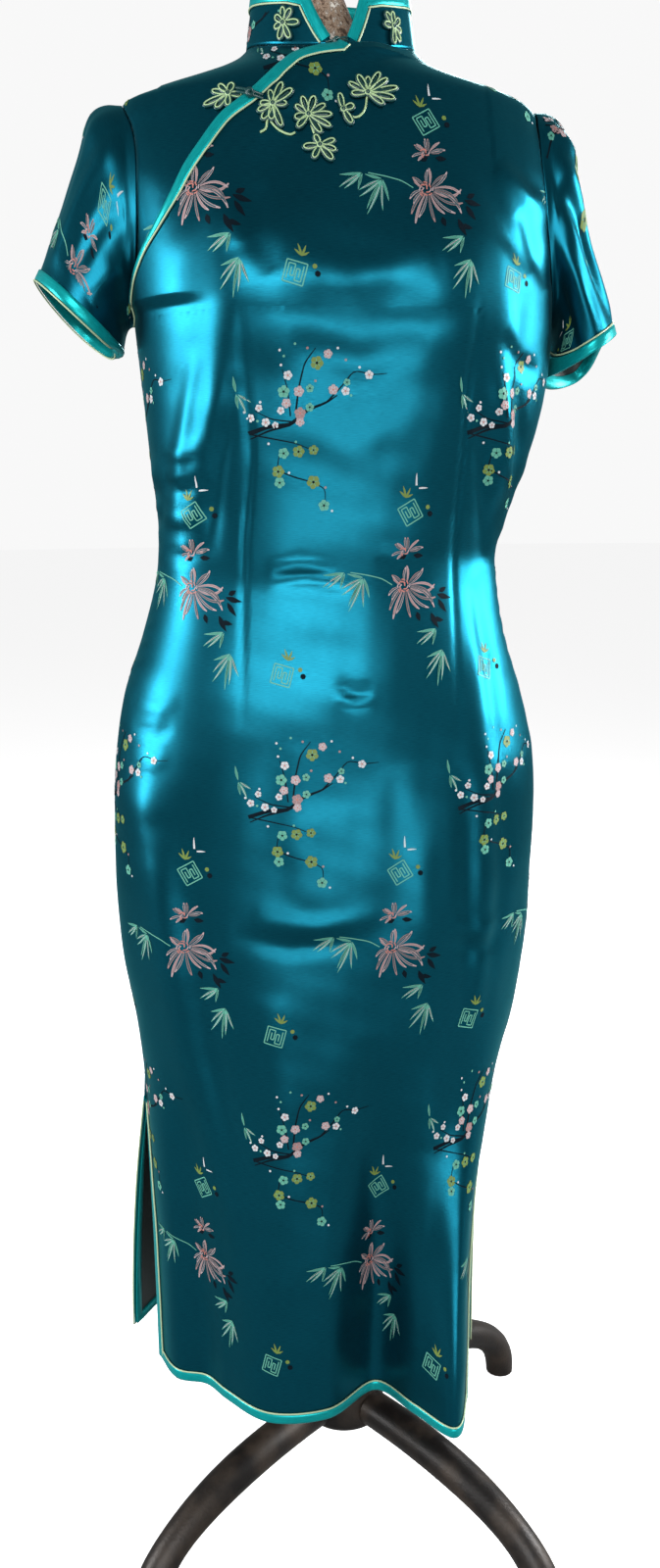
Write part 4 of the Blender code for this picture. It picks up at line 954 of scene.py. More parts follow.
edge = panelEdge(0.004)
addTrim("front", frontSurface, edge, 1)
addTrim("back", backSurface, edge, -1)
flapTurns = np.linspace(5, 15, 101)
flapPath = [frontEnds(j)[0] for j in flapTurns]
shareDown = np.clip((flapTurns - 5) / 10, 0, 1)
covers = 1 - 0.70 * ease((shareDown - 0.45) / 0.30)
whole = trim["width"] * trim["cover"]
extra = trim["gap"] + trim["cord"] * trim["tuck"]
pipingCovers = (whole * covers + extra) / (whole + extra)
addTrim("flap", frontSurface, flapPath, 1, wrap=False, covers=covers, pipingCovers=pipingCovers, bound=82)

topEdge = list(map(tuple, collarTop))
sideUps = np.linspace(0.006, collar["height"] * 0.95, 9)
collarPath = [(collarEnds(v)[0], v) for v in sideUps] + topEdge[1:-1]
collarPath += [(collarEnds(v)[1], v) for v in sideUps[::-1]]
addTrim("collar", collarSurface, collarPath, 1)
for hand in ("left", "right"):
    turns = np.linspace(-half, half, 121)
    addTrim("cuff_" + hand, sleeves[hand], [(a, 1.0) for a in turns], 1 if hand == "left" else -1)
print("trims made")

# Woven motifs, drawn in flat millimetres around their own centres.
# Petals are (angle, length, bend), leaves (angle, length), blossoms (x, y, size, thread)
chrysanthemum = [
    (-152, 13, 60), (-136, 20, 34), (-120, 25, 22), (-103, 20, -26), (-88, 22, 18), (-74, 19, 46),
    (-60, 24, 52), (-44, 26, 70), (-30, 25, 96), (-15, 28, -64), (-2, 25, -88), (14, 22, -60),
    (30, 17, 44), (52, 15, -40), (76, 13, 34), (102, 12, -48), (130, 11, 40), (158, 10, -60),
    (-172, 13, 70),
]
smallChrysanthemum = [
    (-178, 11, 40), (158, 10, -34), (132, 9, 26), (104, 10, -22), (78, 10, 30), (52, 12, -28),
    (26, 13, -42), (2, 12, 46), (-150, 8, 30),
]
bambooSprays = dict(
    side=[(-72, 15), (-96, 21), (-112, 26), (-124, 24), (-139, 20), (-158, 17), (170, 12)],
    low=[(-156, 14), (-140, 19), (-122, 24), (-106, 27), (-92, 22), (-76, 16)],
    high=[(-170, 16), (-152, 19), (-136, 16), (-112, 12)],
    small=[(104, 11), (-36, 10), (-62, 13), (-88, 10)],
)
blossoms = [
    (-6, 26, 3.6, "white"), (2, 15, 4.2, "pink"), (-7, 7, 3.8, "pink"), (3, 0, 4.6, "rose"),
    (3, -6, 3.6, "pink"), (-9, 15, 4.8, "mint"), (10, 17, 3.2, "mint"), (10, 4, 3.4, "mint"),
    (15, 34, 5.2, "yellow"), (23, 40, 3.6, "pink"), (27, 16, 4.0, "pink"), (36, 15, 3.4, "white"),
    (37, 21, 2.8, "mint"), (53, 26, 3.4, "white"), (-11, 2, 3.0, "white"), (-27, 4, 2.8, "white"),
    (-33, -3, 3.2, "white"), (-22, -6, 3.4, "white"), (-15, -8, 2.6, "white"), (2, -27, 4.8, "yellow"),
    (-9, -28, 4.4, "mint"), (13, -26, 4.0, "yellow"), (-13, -41, 5.0, "yellow"), (-12, -49, 4.4, "mint"),
    (13, -49, 5.4, "yellow"), (21, -66, 4.6, "mint"),
]
buds = [(-11, 33), (-9, 39), (-12, 43), (36, 36), (46, 31), (-28, -5), (-26, 8), (14, 22), (-20, -21),
        (0, -20), (-5, -42), (22, -53), (27, -70), (40, 12), (-37, 1), (8, 44), (30, 44), (-1, 47)]
branches = [
    ([(-35, -14), (-20, -9), (-4, -8), (8, 2), (22, 7), (30, 12)], (2.6, 2.4, 2.2, 1.8, 1.2, 0.6)),
    ([(-4, -8), (-20, -12), (-34, -18)], (1.6, 1.2, 0.6)),
    ([(0, 2), (2, 18), (6, 34), (14, 44)], (1.2, 1.0, 0.9, 0.5)),
    ([(-4, -2), (-6, 16), (-10, 30)], (0.9, 0.7, 0.4)),
    ([(22, 7), (33, 18), (42, 29), (56, 26), (66, 27)], (1.0, 0.8, 0.7, 0.6, 0.4)),
    ([(-2, -6), (-18, -4), (-30, 2)], (0.9, 0.7, 0.4)),
    ([(-35, -14), (-20, -17), (0, -21), (12, -26)], (0.8, 0.8, 0.6, 0.4)),
    ([(-12, -28), (-14, -40), (-2, -45), (12, -49), (22, -54), (22, -66)], (0.6, 0.7, 0.8, 0.7, 0.6, 0.4)),
]
sealLines = [  # a plain fret in a square
    [(-1, -1), (1, -1), (1, 1), (-1, 1), (-1, -1)],
    [(-0.72, -0.72), (-0.72, 0.72), (-0.10, 0.72), (-0.10, -0.36), (-0.42, -0.36), (-0.42, 0.40)],
    [(0.72, 0.72), (0.72, -0.72), (0.10, -0.72), (0.10, 0.36), (0.42, 0.36), (0.42, -0.40)],
]


class Weave:
    # Threads gathered in flat metres, then laid on a cloth.

    def __init__(self):
        self.points = []
        self.faces = []
        self.kinds = []

    def stroke(self, line, widths, kind, lift=0.0):
        line = np.array(line, dtype=float)
        length = np.concatenate([[0], np.cumsum(np.hypot(*np.diff(line, axis=0).T))])
        count = max(2, int(length[-1] / 0.0032) + 2)
        at = np.linspace(0, length[-1], count)
        fine = np.column_stack([np.interp(at, length, line[:, 0]), np.interp(at, length, line[:, 1])])
        if len(line) > 2:
            fine[1:-1] = (fine[:-2] + 2 * fine[1:-1] + fine[2:]) / 4
        wide = np.interp(at, length, widths) / 2
        run = unit(np.gradient(fine, axis=0))
        side = np.column_stack([-run[:, 1], run[:, 0]]) * wide[:, None]
        first = len(self.points)
        for p, s in zip(fine, side):
            self.points.append((*(p + s), lift))
            self.points.append((*(p - s), lift))
        for k in range(count - 1):
            a = first + 2 * k
            self.faces.append([a, a + 1, a + 3, a + 2])
            self.kinds.append(kind)

    def disc(self, x, y, radius, kind, lift=0.0, count=7):
        first = len(self.points)
        for k in range(count):
            t = 2 * math.pi * k / count
            self.points.append((x + radius * math.cos(t), y + radius * math.sin(t), lift))
        self.faces.append(list(range(first, first + count)))
        self.kinds.append(kind)


mm = 0.001
layers = dict(under=-0.00004, middle=0.00006, top=0.00012)  # heights of threads over the cloth


def petalLine(x, y, angle, length, bend, steps=7):
    # A line that leaves a centre at an angle and turns by bend on its way.
    points = [(x, y)]
    for k in range(steps):
        heading = math.radians(angle + bend * ((k + 0.5) / steps) ** 1.6)
        x += math.cos(heading) * length / steps
        y += math.sin(heading) * length / steps
        points.append((x, y))
    return points


def drawChrysanthemum(weave, x, y, petals, core, scale=1.0):
    for k, (angle, length, bend) in enumerate(petals):
        a = math.radians(angle)
        start = (x + math.cos(a) * core * 0.7 * mm, y + math.sin(a) * core * 0.5 * mm)
        line = petalLine(*start, angle, length * mm * scale, bend)
        wide = np.array([0.7, 1.2, 1.6, 1.9, 2.1, 2.1, 1.8, 0.9]) * mm * scale
        weave.stroke(line, wide, ("blush", "pink", "blush")[k % 3])
        weave.stroke(line[:-1], wide[:-1] * 0.52, ("dusk", "dusk", "pink")[k % 3], layers["middle"])
    for k in range(int(core * 2.2)):
        t = k * 2.39996
        r = core * mm * math.sqrt((k + 0.5) / (core * 2.2)) * 0.8
        cx, cy = x - 2 * mm + r * math.cos(t), y + r * math.sin(t)
        line = petalLine(cx, cy, math.degrees(t) + 60, 3.2 * mm, 90, 4)
        weave.stroke(line, [0.9 * mm] * 5, ("rose", "blush", "rose", "rose")[k % 4], layers["top"])


def drawSpray(weave, x, y, leaves, kind="mint"):
    for k, (angle, length) in enumerate(leaves):
        a = math.radians(angle)
        off = 2.0 + 1.7 * (k % 3)
        start = (x + math.cos(a) * off * mm * 0.4, y + math.sin(a) * off * mm * 0.4)
        line = petalLine(*start, angle, length * mm, 12 if k % 2 else -10, 6)
        wide = np.array([0.3, 1.4, 2.0, 2.1, 1.6, 1.0, 0.2]) * mm
        weave.stroke(line, wide, kind)
        weave.stroke(line[1:-1], wide[1:-1] * 0.55, "dark" if k % 2 else "leaf", layers["middle"])
        weave.stroke(line[1:-1], [0.35 * mm] * 5, "white" if k % 3 else kind, layers["top"])


def drawBlossom(weave, x, y, size, kind):
    outer = {"pink": "blush", "rose": "pink"}.get(kind, kind)
    inner = {"white": "pink", "pink": "white", "rose": "blush", "mint": "leaf", "yellow": "mint"}[kind]
    turn = x * 900 + y * 300
    for k in range(5):
        t = turn + 2 * math.pi * k / 5
        cx, cy = x + size * 0.5 * mm * math.cos(t), y + size * 0.5 * mm * math.sin(t)
        weave.disc(cx, cy, size * 0.46 * mm, outer, 0.0, 6)
    for k in range(5):
        t = turn + 2 * math.pi * (k + 0.5) / 5
        end = (x + size * 0.62 * mm * math.cos(t), y + size * 0.62 * mm * math.sin(t))
        weave.stroke([(x, y), end], [0.5 * mm, 0.35 * mm], inner, layers["middle"])
    weave.disc(x, y, size * 0.20 * mm, "dark" if kind in ("mint", "yellow") else "rose", layers["top"], 6)


def drawPlum(weave, x, y):
    for places, widths in branches:
        line = [(x + a * mm, y + b * mm) for a, b in places]
        weave.stroke(line, np.array(widths) * 1.2 * mm, "dark", layers["under"])
    for a, b, size, kind in blossoms:
        drawBlossom(weave, x + a * mm, y + b * mm, size, kind)
    for k, (a, b) in enumerate(buds):
        kind = ("white", "mint", "white", "pink")[k % 4]
        weave.disc(x + a * mm, y + b * mm, 1.0 * mm, kind, layers["middle"], 6)
    drawSpray(weave, x - 42 * mm, y + 14 * mm, bambooSprays["small"])


def drawSeal(weave, x, y, turn, second):
    c, s = math.cos(turn), math.sin(turn)
    half = 7.4 * mm
    for line in sealLines:
        turned = [(x + half * (a * c - b * s), y + half * (a * s + b * c)) for a, b in line]
        for p, q in zip(turned, turned[1:]):
            weave.stroke([p, q], [0.9 * mm, 0.9 * mm], "mint")
    for angle, length in ((100, 9), (60, 8), (130, 7), (20, 6)):
        line = petalLine(x + (-4 if second else 5) * mm, y + 11 * mm, angle, length * mm, 14, 4)
        weave.stroke(line, np.array([0.4, 1.6, 1.8, 1.2, 0.3]) * mm, "yellow")
    if second:
        for a, b, angle, length, wide in ((4, 20, 95, 9, (1.6, 1.5, 1.3, 1.0, 0.3)),
                                          (6, 18, 5, 7, (1.0, 1.4, 1.3, 0.9, 0.3))):
            line = petalLine(x + a * mm, y + b * mm, angle, length * mm, -10, 4)
            weave.stroke(line, np.array(wide) * mm, "white")
    weave.disc(x + 16 * mm, y - 1 * mm, 2.2 * mm, "dark")
    weave.disc(x + 14 * mm, y + 4 * mm, 1.8 * mm, "yellow", 0.00004)


def drawHead(weave, x, y):
    # A chrysanthemum with its bud above, dark leaves, and bamboo beside and below.
    for a, b, angle, size in ((24, -6, -20, 13), (25, -10, -62, 12), (18, -20, -70, 13), (20, -24, -20, 9),
                              (6, -19, -80, 7), (4, 24, -10, 8), (-2, 24, -160, 6), (26, -4, 20, 7)):
        weave.stroke(petalLine(x + a * mm, y + b * mm, angle, size * mm, 16, 5),
                     np.array([0.6, 3.0, 4.4, 3.6, 2.0, 0.3]) * mm, "dark", layers["under"])
    drawChrysanthemum(weave, x - 3 * mm, y + 1 * mm, chrysanthemum, 6.4, 0.95)
    drawChrysanthemum(weave, x - 2 * mm, y + 27 * mm, smallChrysanthemum, 3.6, 0.9)
    stem = [(x - a * mm, y + b * mm) for a, b in ((14, 2), (22, 7), (34, 10), (46, 12))]
    weave.stroke(stem, np.array([0.7, 0.8, 0.8, 0.7]) * mm, "mint")
    drawSpray(weave, x - 36 * mm, y + 8 * mm, bambooSprays["side"])
    drawSpray(weave, x - 50 * mm, y + 12 * mm, bambooSprays["high"])
    drawSpray(weave, x + 22 * mm, y - 32 * mm, bambooSprays["high"])
    drawSpray(weave, x + 27 * mm, y - 48 * mm, bambooSprays["low"])


def insideOutline(points, outline):
    # Even-odd test of flat places against a closed outline.
    inside = np.zeros(len(points), dtype=bool)
    x, y = points[:, 0], points[:, 1]
    for (ax, ay), (bx, by) in zip(outline, np.roll(outline, -1, axis=0)):
        if ay == by:
            continue
        crosses = (ay > y) != (by > y)
        inside ^= crosses & (x < (bx - ax) * (y - ay) / (by - ay) + ax)
    return inside


# Where each motif's first row lies, how its column leans, and the height from row to row
repeat = [
    dict(kind="plum", x=-0.0465, height=0.679, lean=0.024, step=0.286),
    dict(kind="head", x=0.0395, height=0.837, lean=0.048, step=0.281),
    dict(kind="sealOne", x=-0.0570, height=0.773, lean=0.043, step=0.286),
    dict(kind="sealTwo", x=0.0385, height=0.618, lean=0.042, step=0.275),
]
repeatWidth = 0.166
repeatFoot = 0.675  # the height from which the columns lean


def fillWeave(low, high, left, right, shift=(0.0, 0.0)):
    # All the motifs of the repeat whose centres fall in a flat window.
    weave = Weave()
    for motif in repeat:
        for row in range(-3, 4):
            y = motif["height"] + row * motif["step"] + shift[1]
            for columnIndex in range(-3, 4):
                x = motif["x"] + (y - repeatFoot) * motif["lean"] + columnIndex * repeatWidth + shift[0]
                if not (left < x < right and low < y < high):
                    continue
                if motif["kind"] == "plum":
                    drawPlum(weave, x, y)
                elif motif["kind"] == "head":
                    drawHead(weave, x, y)
                else:
                    second = motif["kind"] == "sealTwo"
                    drawSeal(weave, x, y, math.radians(30 if second else -16), second)
    return weave


def layWeave(name, weave, outline, place, lift=0.00028):
    # Keep the faces inside the outline and lay them on the cloth.
    points = np.array(weave.points)
    inside = insideOutline(points[:, :2], outline)
    used = [(face, kind) for face, kind in zip(weave.faces, weave.kinds) if inside[face].all()]
    keep = np.unique(np.concatenate([face for face, kind in used]))
    order = np.full(len(points), -1)
    order[keep] = np.arange(len(keep))
    points = points[keep]
    where = place(points[:, 0], points[:, 1], lift + points[:, 2])
    outward = place(points[:, 0], points[:, 1], lift + points[:, 2] + 0.001) - where
    faces = []
    for face, kind in used:
        corners = [int(order[i]) for i in face]
        a, b, c = where[corners[:3]]
        if np.dot(np.cross(b - a, c - a), outward[corners[0]]) < 0:
            corners.reverse()  # every stitch faces away from the cloth
        faces.append(corners)
    mesh = bpy.data.meshes.new(name)
    mesh.from_pydata(where.tolist(), [], faces)
    mesh.polygons.foreach_set("material_index", [threadNames.index(kind) for face, kind in used])
    for key in threadNames:
        mesh.materials.append(threads[key])
    mesh.update()
    thing = addObject(name, mesh)
    mesh.shade_smooth()
    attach(thing, "root")


def panelPlace(side, surface):
    def place(x, y, lift):
        u = np.interp(y, tableHeights, middles[side]) + x / np.interp(y, tableHeights, girths[side])
        return surface(u, y, lift)
    return place


def shrinkOutline(outline, margin=0.0012):
    centre = outline.mean(axis=0)
    run = unit(np.roll(outline, -1, axis=0) - np.roll(outline, 1, axis=0))
    inward = np.column_stack([-run[:, 1], run[:, 0]])
    if ((centre - outline) * inward).sum() < 0:
        inward = -inward
    return outline + inward * margin


weave = fillWeave(0.06, 1.28, -0.30, 0.30)
layWeave("front_brocade", weave, shrinkOutline(frontOutline), panelPlace("front", frontSurface))
weave = fillWeave(0.95, 1.28, -0.30, 0.30, (0.012, -0.030))
layWeave("under_brocade", weave, shrinkOutline(underOutline), panelPlace("front", underSurface))
weave = fillWeave(0.06, 1.30, -0.34, 0.34, (0.060, -0.060))
layWeave("back_brocade", weave, shrinkOutline(backOutline), panelPlace("back", backSurface))
for hand, shift in (("left", (0.020, 0.060)), ("right", (0.070, 0.020))):
    weave = fillWeave(0.80, 1.06, -0.24, 0.24, shift)
    box = np.array([(-0.160, 0.893), (0.160, 0.893), (0.160, 0.995), (-0.160, 0.995)])

    def onSleeve(x, y, lift, hand=hand):
        return sleeves[hand](x / sleeve["reach"], (1.0 - y) / sleeve["drop"], lift)

    layWeave("sleeve_" + hand + "_brocade", weave, box, onSleeve)
weave = fillWeave(1.24, 1.40, -0.36, 0.20, (0.040, 0.060))
box = np.array([(-0.265, 1.304), (0.070, 1.304), (0.060, 1.324), (-0.255, 1.324)])
layWeave("collar_brocade", weave, box, lambda x, y, lift: collarSurface(x / collar["flatReach"],
                                                                       y - collar["flatFoot"], lift))
print("brocade woven")

# Frogs: cord loops round a centre, each an angle in degrees and a length in mm
frogs = dict(loopWidth=0.0060, shortest=0.0085, fill=0.0012, edge=0.00052, heart=0.0011, centre=0.0007,
             stem=0.0008)
chestFrogs = [
    dict(name="frog_chest_under", x=-0.0815, height=1.1870, on="under", loops=[
        (163, 12), (128, 10), (66, 9), (203, 19), (229, 14), (268, 10), (-8, 10)]),
    dict(name="frog_chest_flower_a", x=-0.0505, height=1.1755, on="front", loops=[
        (98, 11), (66, 18), (38, 18), (6, 10), (176, 9), (208, 12), (236, 14),
        (262, 12), (-72, 17)]),
    dict(name="frog_chest_flower_b", x=-0.0260, height=1.1699, on="front", loops=[
        (146, 11), (108, 13), (70, 14), (34, 15), (2, 17), (-30, 18), (-58, 16),
        (196, 10.5), (230, 13)]),
    dict(name="frog_chest_sprig", x=-0.0190, height=1.1480, on="front", loops=[
        (24, 12), (-16, 12), (-52, 14), (243, 11), (186, 12), (112, 6.5)]),
    dict(name="frog_chest_leaf", x=-0.0010, height=1.1740, on="front", loops=[
        (100, 13), (-62, 12), (24, 8)]),
    dict(name="frog_chest_mum", x=0.0170, height=1.1866, on="front", loops=[
        (150, 15.5), (184, 12), (116, 15), (86, 13), (60, 19), (38, 19), (14, 23),
        (-10, 20), (-38, 14)]),
]
collarFrogs = [
    dict(name="frog_collar_left", angle=52, height=0.0145, loops=[
        (98, 11.5), (62, 11.5), (146, 8.5), (206, 8.5), (258, 12), (-62, 12.5), (4, 12)]),
    dict(name="frog_collar_right", angle=130, height=0.0145, loops=[
        (122, 11.5), (88, 10.5), (36, 9), (-22, 9.5), (-62, 12), (-96, 12.5), (170, 9)]),
]


def loopPoints(angle, length, width, count=18):
    # A drop-shaped loop from the centre: narrow at its start and round at its end.
    turn = math.radians(angle)
    points = []
    for k in range(count):
        t = 2 * math.pi * k / count
        along = length * (0.5 - 0.5 * math.cos(t))
        across = width / 2 * math.sin(t) * (0.45 + 0.55 * along / length)
        points.append((along * math.cos(turn) - across * math.sin(turn),
                       along * math.sin(turn) + across * math.cos(turn)))
    return np.array(points)


def joinAs(name, things):
    bpy.ops.object.select_all(action="DESELECT")
    for thing in things:
        thing.select_set(True)
    bpy.context.view_layer.objects.active = things[0]
    bpy.ops.object.join()
    joined = bpy.context.object
    joined.name = name
    joined.data.name = name
    return joined


def makeFrog(frog, place):
    made = []
    for k, (angle, length) in enumerate(frog["loops"]):
        length = length / 1000
        width = frogs["loopWidth"] * (0.92 + 0.16 * ((k * 7) % 5) / 4)
        tip = max(length, frogs["shortest"])
        outer = loopPoints(angle, tip, width)
        inner = loopPoints(angle, tip - 0.0006, width - 0.0010)
        rise = 0.0003 * (k % 3)
        fill = place(outer[:, 0], outer[:, 1], frogs["fill"] + rise)
        made.append(cordAlong("fill", fill, frogs["fill"], cordFill, closed=True, resolution=1))
        edge = place(inner[:, 0], inner[:, 1], 0.0021 + rise)
        made.append(cordAlong("edge", edge, frogs["edge"], cordEdge, closed=True))
        turn = math.radians(angle)
        spine = np.linspace(0.25, 0.8, 4) * tip
        heart = place(spine * math.cos(turn), spine * math.sin(turn), 0.0010 + rise)
        made.append(cordAlong("heart", heart, frogs["heart"], cordFill, resolution=1))
    for k in range(3):
        turns = np.linspace(0, 2 * math.pi, 13)[:-1]
        r = 0.0024 - 0.0007 * k
        ring = place(r * np.cos(turns), r * np.sin(turns), 0.0022 + 0.0005 * k)
        cord = cordEdge if k == 1 else cordFill
        made.append(cordAlong("centre", ring, frogs["centre"], cord, closed=True, resolution=1))
    thing = joinAs(frog["name"] + "_cords", made)
    standIn(thing, frog["name"])


def chestPlace(frog):
    surface = underSurface if frog["on"] == "under" else frontSurface

    def place(across, up, lift):
        height = frog["height"] + np.asarray(up) * 0.95
        places = zip(np.atleast_1d(across), np.atleast_1d(height))
        u = np.array([shareFromX(frog["x"] + a, h) for a, h in places])
        return surface(u, np.atleast_1d(height), lift)

    return place


def collarPlace(frog):
    def place(across, up, lift):
        start = frog["angle"] if frog["angle"] < 100 else frog["angle"] - 360
        angle = math.radians(start) + np.asarray(across) / dress["neckFront"]
        return collarSurface(angle, frog["height"] + np.asarray(up), lift)

    return place


for frog in chestFrogs:
    makeFrog(frog, chestPlace(frog))
for frog in collarFrogs:
    makeFrog(frog, collarPlace(frog))

# Cord stems between the chest frogs
stems = [
    [(-0.0505, 1.1755), (-0.0545, 1.1660), (-0.0560, 1.1590), (-0.0600, 1.1560)],
    [(-0.0545, 1.1660), (-0.0480, 1.1590), (-0.0400, 1.1560), (-0.0360, 1.1575)],
    [(-0.0260, 1.1699), (-0.0235, 1.1600), (-0.0190, 1.1480)],
    [(-0.0010, 1.1740), (0.0070, 1.1690), (0.0140, 1.1740), (0.0170, 1.1866)],
]
made = []
for stem in stems:
    places = np.array(stem)
    along = np.linspace(0, 1, len(places))
    fine = np.linspace(0, 1, 14)
    x, h = (smoothCurve(along, places[:, k], False)(fine) for k in (0, 1))
    u = np.array([shareFromX(float(a), float(b)) for a, b in zip(x, h)])
    made.append(cordAlong("stem", frontSurface(u, h, 0.0010), frogs["stem"], cordEdge))
stemPiece = joinAs("frog_stems", made)
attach(stemPiece, "root")

# The knots that close the flap and the neck
knots = dict(
    flap=dict(x=-0.0655, height=1.1825, lift=0.0044, across=(1, -0.25, -0.30), size=0.0034),
    neck=dict(angle=88, height=0.003, lift=0.0026, across=(1, 0, 0.25), size=0.0028),
)


def makeKnot(name, centre, across, size):
    # A round knot of cord, with the two cords of its loop and tail on either side.
    made = []
    across = unit(np.array(across))
    up = np.array([0, 0, 1.0])
    for k, tilt in enumerate((0.0, 0.7, -0.7, 1.5)):
        bpy.ops.mesh.primitive_torus_add(major_radius=size * 0.62, minor_radius=size * 0.42,
                                         major_segments=20, minor_segments=8, location=centre,
                                         rotation=(1.2 + tilt, 0.5 * k, tilt))
        bpy.ops.object.transform_apply(location=True, rotation=True, scale=True)
        ring = bpy.context.object
        ring.data.materials.append(cordFill)
        ring.data.shade_smooth()
        made.append(ring)
    for sign in (-1, 1):
        for off in (-0.35, 0.35):
            along = np.linspace(0.2, 1.0, 6)[:, None]
            line = centre + across * sign * size * 2.9 * along + up * size * off
            line = line + np.array([0, 1, 0]) * (along**2) * size * 0.55
            made.append(cordAlong("strap", line, size * 0.30, cordFill))
    return joinAs(name, made)


knot = knots["flap"]
place = (shareFromX(knot["x"], knot["height"]), knot["height"])
centre = frontSurface(*np.array(place)[:, None], knot["lift"])[0]
standIn(makeKnot("knot_cords", centre, knot["across"], knot["size"]), "frog_knot")
knot = knots["neck"]
place = (math.radians(knot["angle"]), knot["height"])
centre = collarSurface(*np.array(place)[:, None], knot["lift"])[0]
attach(makeKnot("neck_knot", centre, knot["across"], knot["size"]), "root")
print("frogs made")


# Form and stand
stand = dict(turn=math.radians(6), reach=0.234, rise=0.094, radius=0.0155, foot=0.0135, square=2.3,
             hubRadius=0.036, hubBottom=0.074, hubTop=0.135, pole=0.016, plate=0.055, plateTop=0.5997,
             plateThickness=0.010)


def smoothCopy(name, material, levels):
    # A CAD node's own mesh, smoothed, in its place.
    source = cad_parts[name]
    mesh = source.data.copy()
    thing = addObject(name + "_fine", mesh)
    bm = bmesh.new()
    bm.from_mesh(mesh)
    bmesh.ops.remove_doubles(bm, verts=bm.verts, dist=0.00002)
    bmesh.ops.join_triangles(bm, faces=bm.faces, angle_face_threshold=0.6, angle_shape_threshold=3.1)
    bm.to_mesh(mesh)
    bm.free()
    mesh.materials.clear()
    mesh.materials.append(material)
    finer = thing.modifiers.new("Finer", "SUBSURF")
    finer.levels = levels
    finer.render_levels = levels
    selectOnly(thing)
    bpy.ops.object.modifier_apply(modifier=finer.name)
    mesh = thing.data
    mesh.shade_smooth()
    standIn(thing, name)


smoothCopy("form_body", formCover, 2)


def makeLeg(name, heading):
    # An arched leg of round iron, drawn as a bevelled curve that narrows to its foot.
    out = np.array([math.cos(heading), math.sin(heading), 0.0])
    start = math.asin(((stand["hubRadius"] - 0.001) / stand["reach"]) ** (stand["square"] / 2))
    turns = start + (math.pi / 2 - start) * np.linspace(0, 1, 40) ** 0.8
    r = stand["reach"] * np.sin(turns) ** (2 / stand["square"])
    z = stand["rise"] * np.maximum(np.cos(turns), 0) ** (2 / stand["square"])
    centres = out * r[:, None] + np.array([0, 0, 1.0]) * z[:, None]
    t = np.linspace(0, 1, 40)
    radii = stand["radius"] + (stand["foot"] - stand["radius"]) * t + 0.0006 * np.sin(9 * t)
    thing = cordAlong(name, centres, 1.0, iron, resolution=6, shares=radii)
    for v in thing.data.vertices:
        v.co.z = max(v.co.z, 0.0)
    standIn(thing, name)


for k, name in enumerate(("front_left", "back_left", "back_right", "front_right")):
    makeLeg("leg_" + name, math.radians(225 - 90 * k) - stand["turn"])


def turned(name, radius, low, high, bevel):
    bpy.ops.mesh.primitive_cylinder_add(vertices=64, radius=radius, depth=high - low,
                                        location=(0, 0, (low + high) / 2))
    bpy.ops.object.transform_apply(location=True, rotation=True, scale=True)
    thing = bpy.context.object
    thing.name = name + "_fine"
    if bevel:
        edgeBevel = thing.modifiers.new("Edge", "BEVEL")
        edgeBevel.width = bevel
        edgeBevel.segments = 4
        selectOnly(thing)
        bpy.ops.object.modifier_apply(modifier=edgeBevel.name)
    thing.data.materials.append(iron)
    thing.data.shade_smooth()
    thing.data.set_sharp_from_angle(angle=math.radians(50))
    standIn(thing, name)


turned("stand_hub", stand["hubRadius"], stand["hubBottom"], stand["hubTop"], 0.007)
plateLow = stand["plateTop"] - stand["plateThickness"]
turned("stand_pole", stand["pole"], stand["hubTop"] + trim["gap"], plateLow - trim["gap"], 0.0)
turned("form_plate", stand["plate"], plateLow, stand["plateTop"], 0.002)
print("form and stand made")

# Floor, light and camera
floorWhite = newMaterial("pale floor", (0.86, 0.86, 0.86), 0.9)
node, link, shader = nodeKit(floorWhite)
seen = node("ShaderNodeLightPath")
glow = node("ShaderNodeMath", operation="MULTIPLY")
glow.inputs[1].default_value = 0.73
tone = node("ShaderNodeMix", data_type="RGBA")
tone.inputs["A"].default_value = (0.20, 0.20, 0.20, 1)
tone.inputs["B"].default_value = (0.80, 0.80, 0.80, 1)
link(seen.outputs["Is Camera Ray"], glow.inputs[0])
link(seen.outputs["Is Camera Ray"], tone.inputs["Factor"])
link(tone.outputs["Result"], shader.inputs["Base Color"])
shader.inputs["Emission Color"].default_value = (1, 1, 1, 1)
link(glow.outputs[0], shader.inputs["Emission Strength"])
bpy.ops.mesh.primitive_circle_add(vertices=96, radius=30, fill_type="NGON", location=(0, 0, -0.0005))
bpy.ops.object.transform_apply(location=True, rotation=True, scale=True)
floor = bpy.context.object
floor.name = "floor"
floor.data.materials.append(floorWhite)

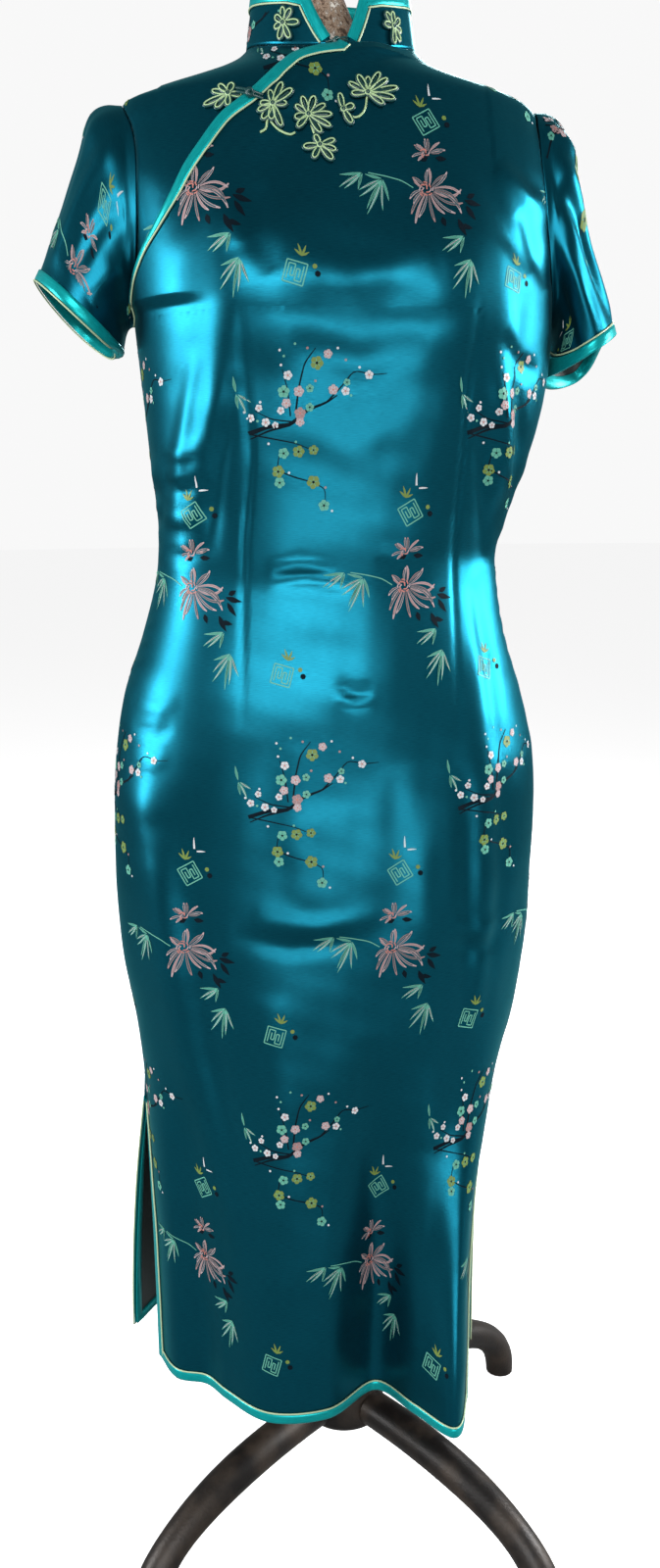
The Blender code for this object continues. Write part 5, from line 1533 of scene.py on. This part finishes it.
lights = [
    dict(name="key", place=(-0.45, -2.6, 1.66), target=(0.0, 0, 1.05), size=(2.0, 0.80), power=56),
    dict(name="low", place=(0.10, -2.4, 0.27), target=(0.0, 0, 0.9), size=(2.2, 0.45), power=24),
    dict(name="right", place=(2.2, 0.05, 1.25), target=(0.1, 0, 1.0), size=(1.00, 1.2), power=98),
    dict(name="left", place=(-2.2, -0.25, 1.10), target=(-0.1, 0, 0.9), size=(0.70, 1.3), power=62),
    dict(name="back", place=(0.8, 2.4, 1.9), target=(0, 0, 1.0), size=(1.2, 1.0), power=60),
]
for light in lights:
    data = bpy.data.lights.new(light["name"], "AREA")
    data.shape = "ELLIPSE"
    data.size, data.size_y = light["size"]
    data.energy = light["power"]
    lamp = addObject(light["name"], data)
    lamp.location = light["place"]
    aim = Vector(light["target"]) - Vector(light["place"])
    lamp.rotation_euler = aim.to_track_quat("-Z", "Y").to_euler()

world = bpy.data.worlds.new("studio")
world.use_nodes = True
air = world.node_tree.nodes["Background"]
seen = world.node_tree.nodes.new("ShaderNodeLightPath")
level = world.node_tree.nodes.new("ShaderNodeMapRange")
setInputs(level, To_Min=0.22, To_Max=0.94)
world.node_tree.links.new(seen.outputs["Is Camera Ray"], level.inputs["Value"])
world.node_tree.links.new(level.outputs[0], air.inputs["Strength"])
air.inputs["Color"].default_value = (1.0, 1.0, 1.0, 1)
bpy.context.scene.world = world
bpy.context.scene.view_settings.view_transform = "Standard"

photo = dict(width=673, height=1600, focal=1404.0, distance=1.14, eye=0.90, down=math.radians(11.5),
             turn=math.radians(6), roll=math.radians(-0.64), side=-0.0068)
ahead = Vector((math.sin(photo["turn"]), math.cos(photo["turn"]), 0))
aside = Vector((math.cos(photo["turn"]), -math.sin(photo["turn"]), 0))
eye = -ahead * photo["distance"] + aside * photo["side"] + Vector((0, 0, photo["eye"]))
look = ahead * math.cos(photo["down"]) - Vector((0, 0, math.sin(photo["down"])))
upward = aside.cross(look)
right = aside * math.cos(photo["roll"]) + upward * math.sin(photo["roll"])
upward = upward * math.cos(photo["roll"]) - aside * math.sin(photo["roll"])
cameraData = bpy.data.cameras.new("camera")
cameraData.sensor_fit = "VERTICAL"
cameraData.sensor_height = 24
cameraData.lens = 24 * photo["focal"] / photo["height"]
camera = addObject("camera", cameraData)
pose = Matrix((right, upward, -look)).transposed().to_4x4()
pose.translation = eye
camera.matrix_world = pose
bpy.context.scene.camera = camera

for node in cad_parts.values():
    if not node.hide_render:
        print("still shown from CAD:", node.name)
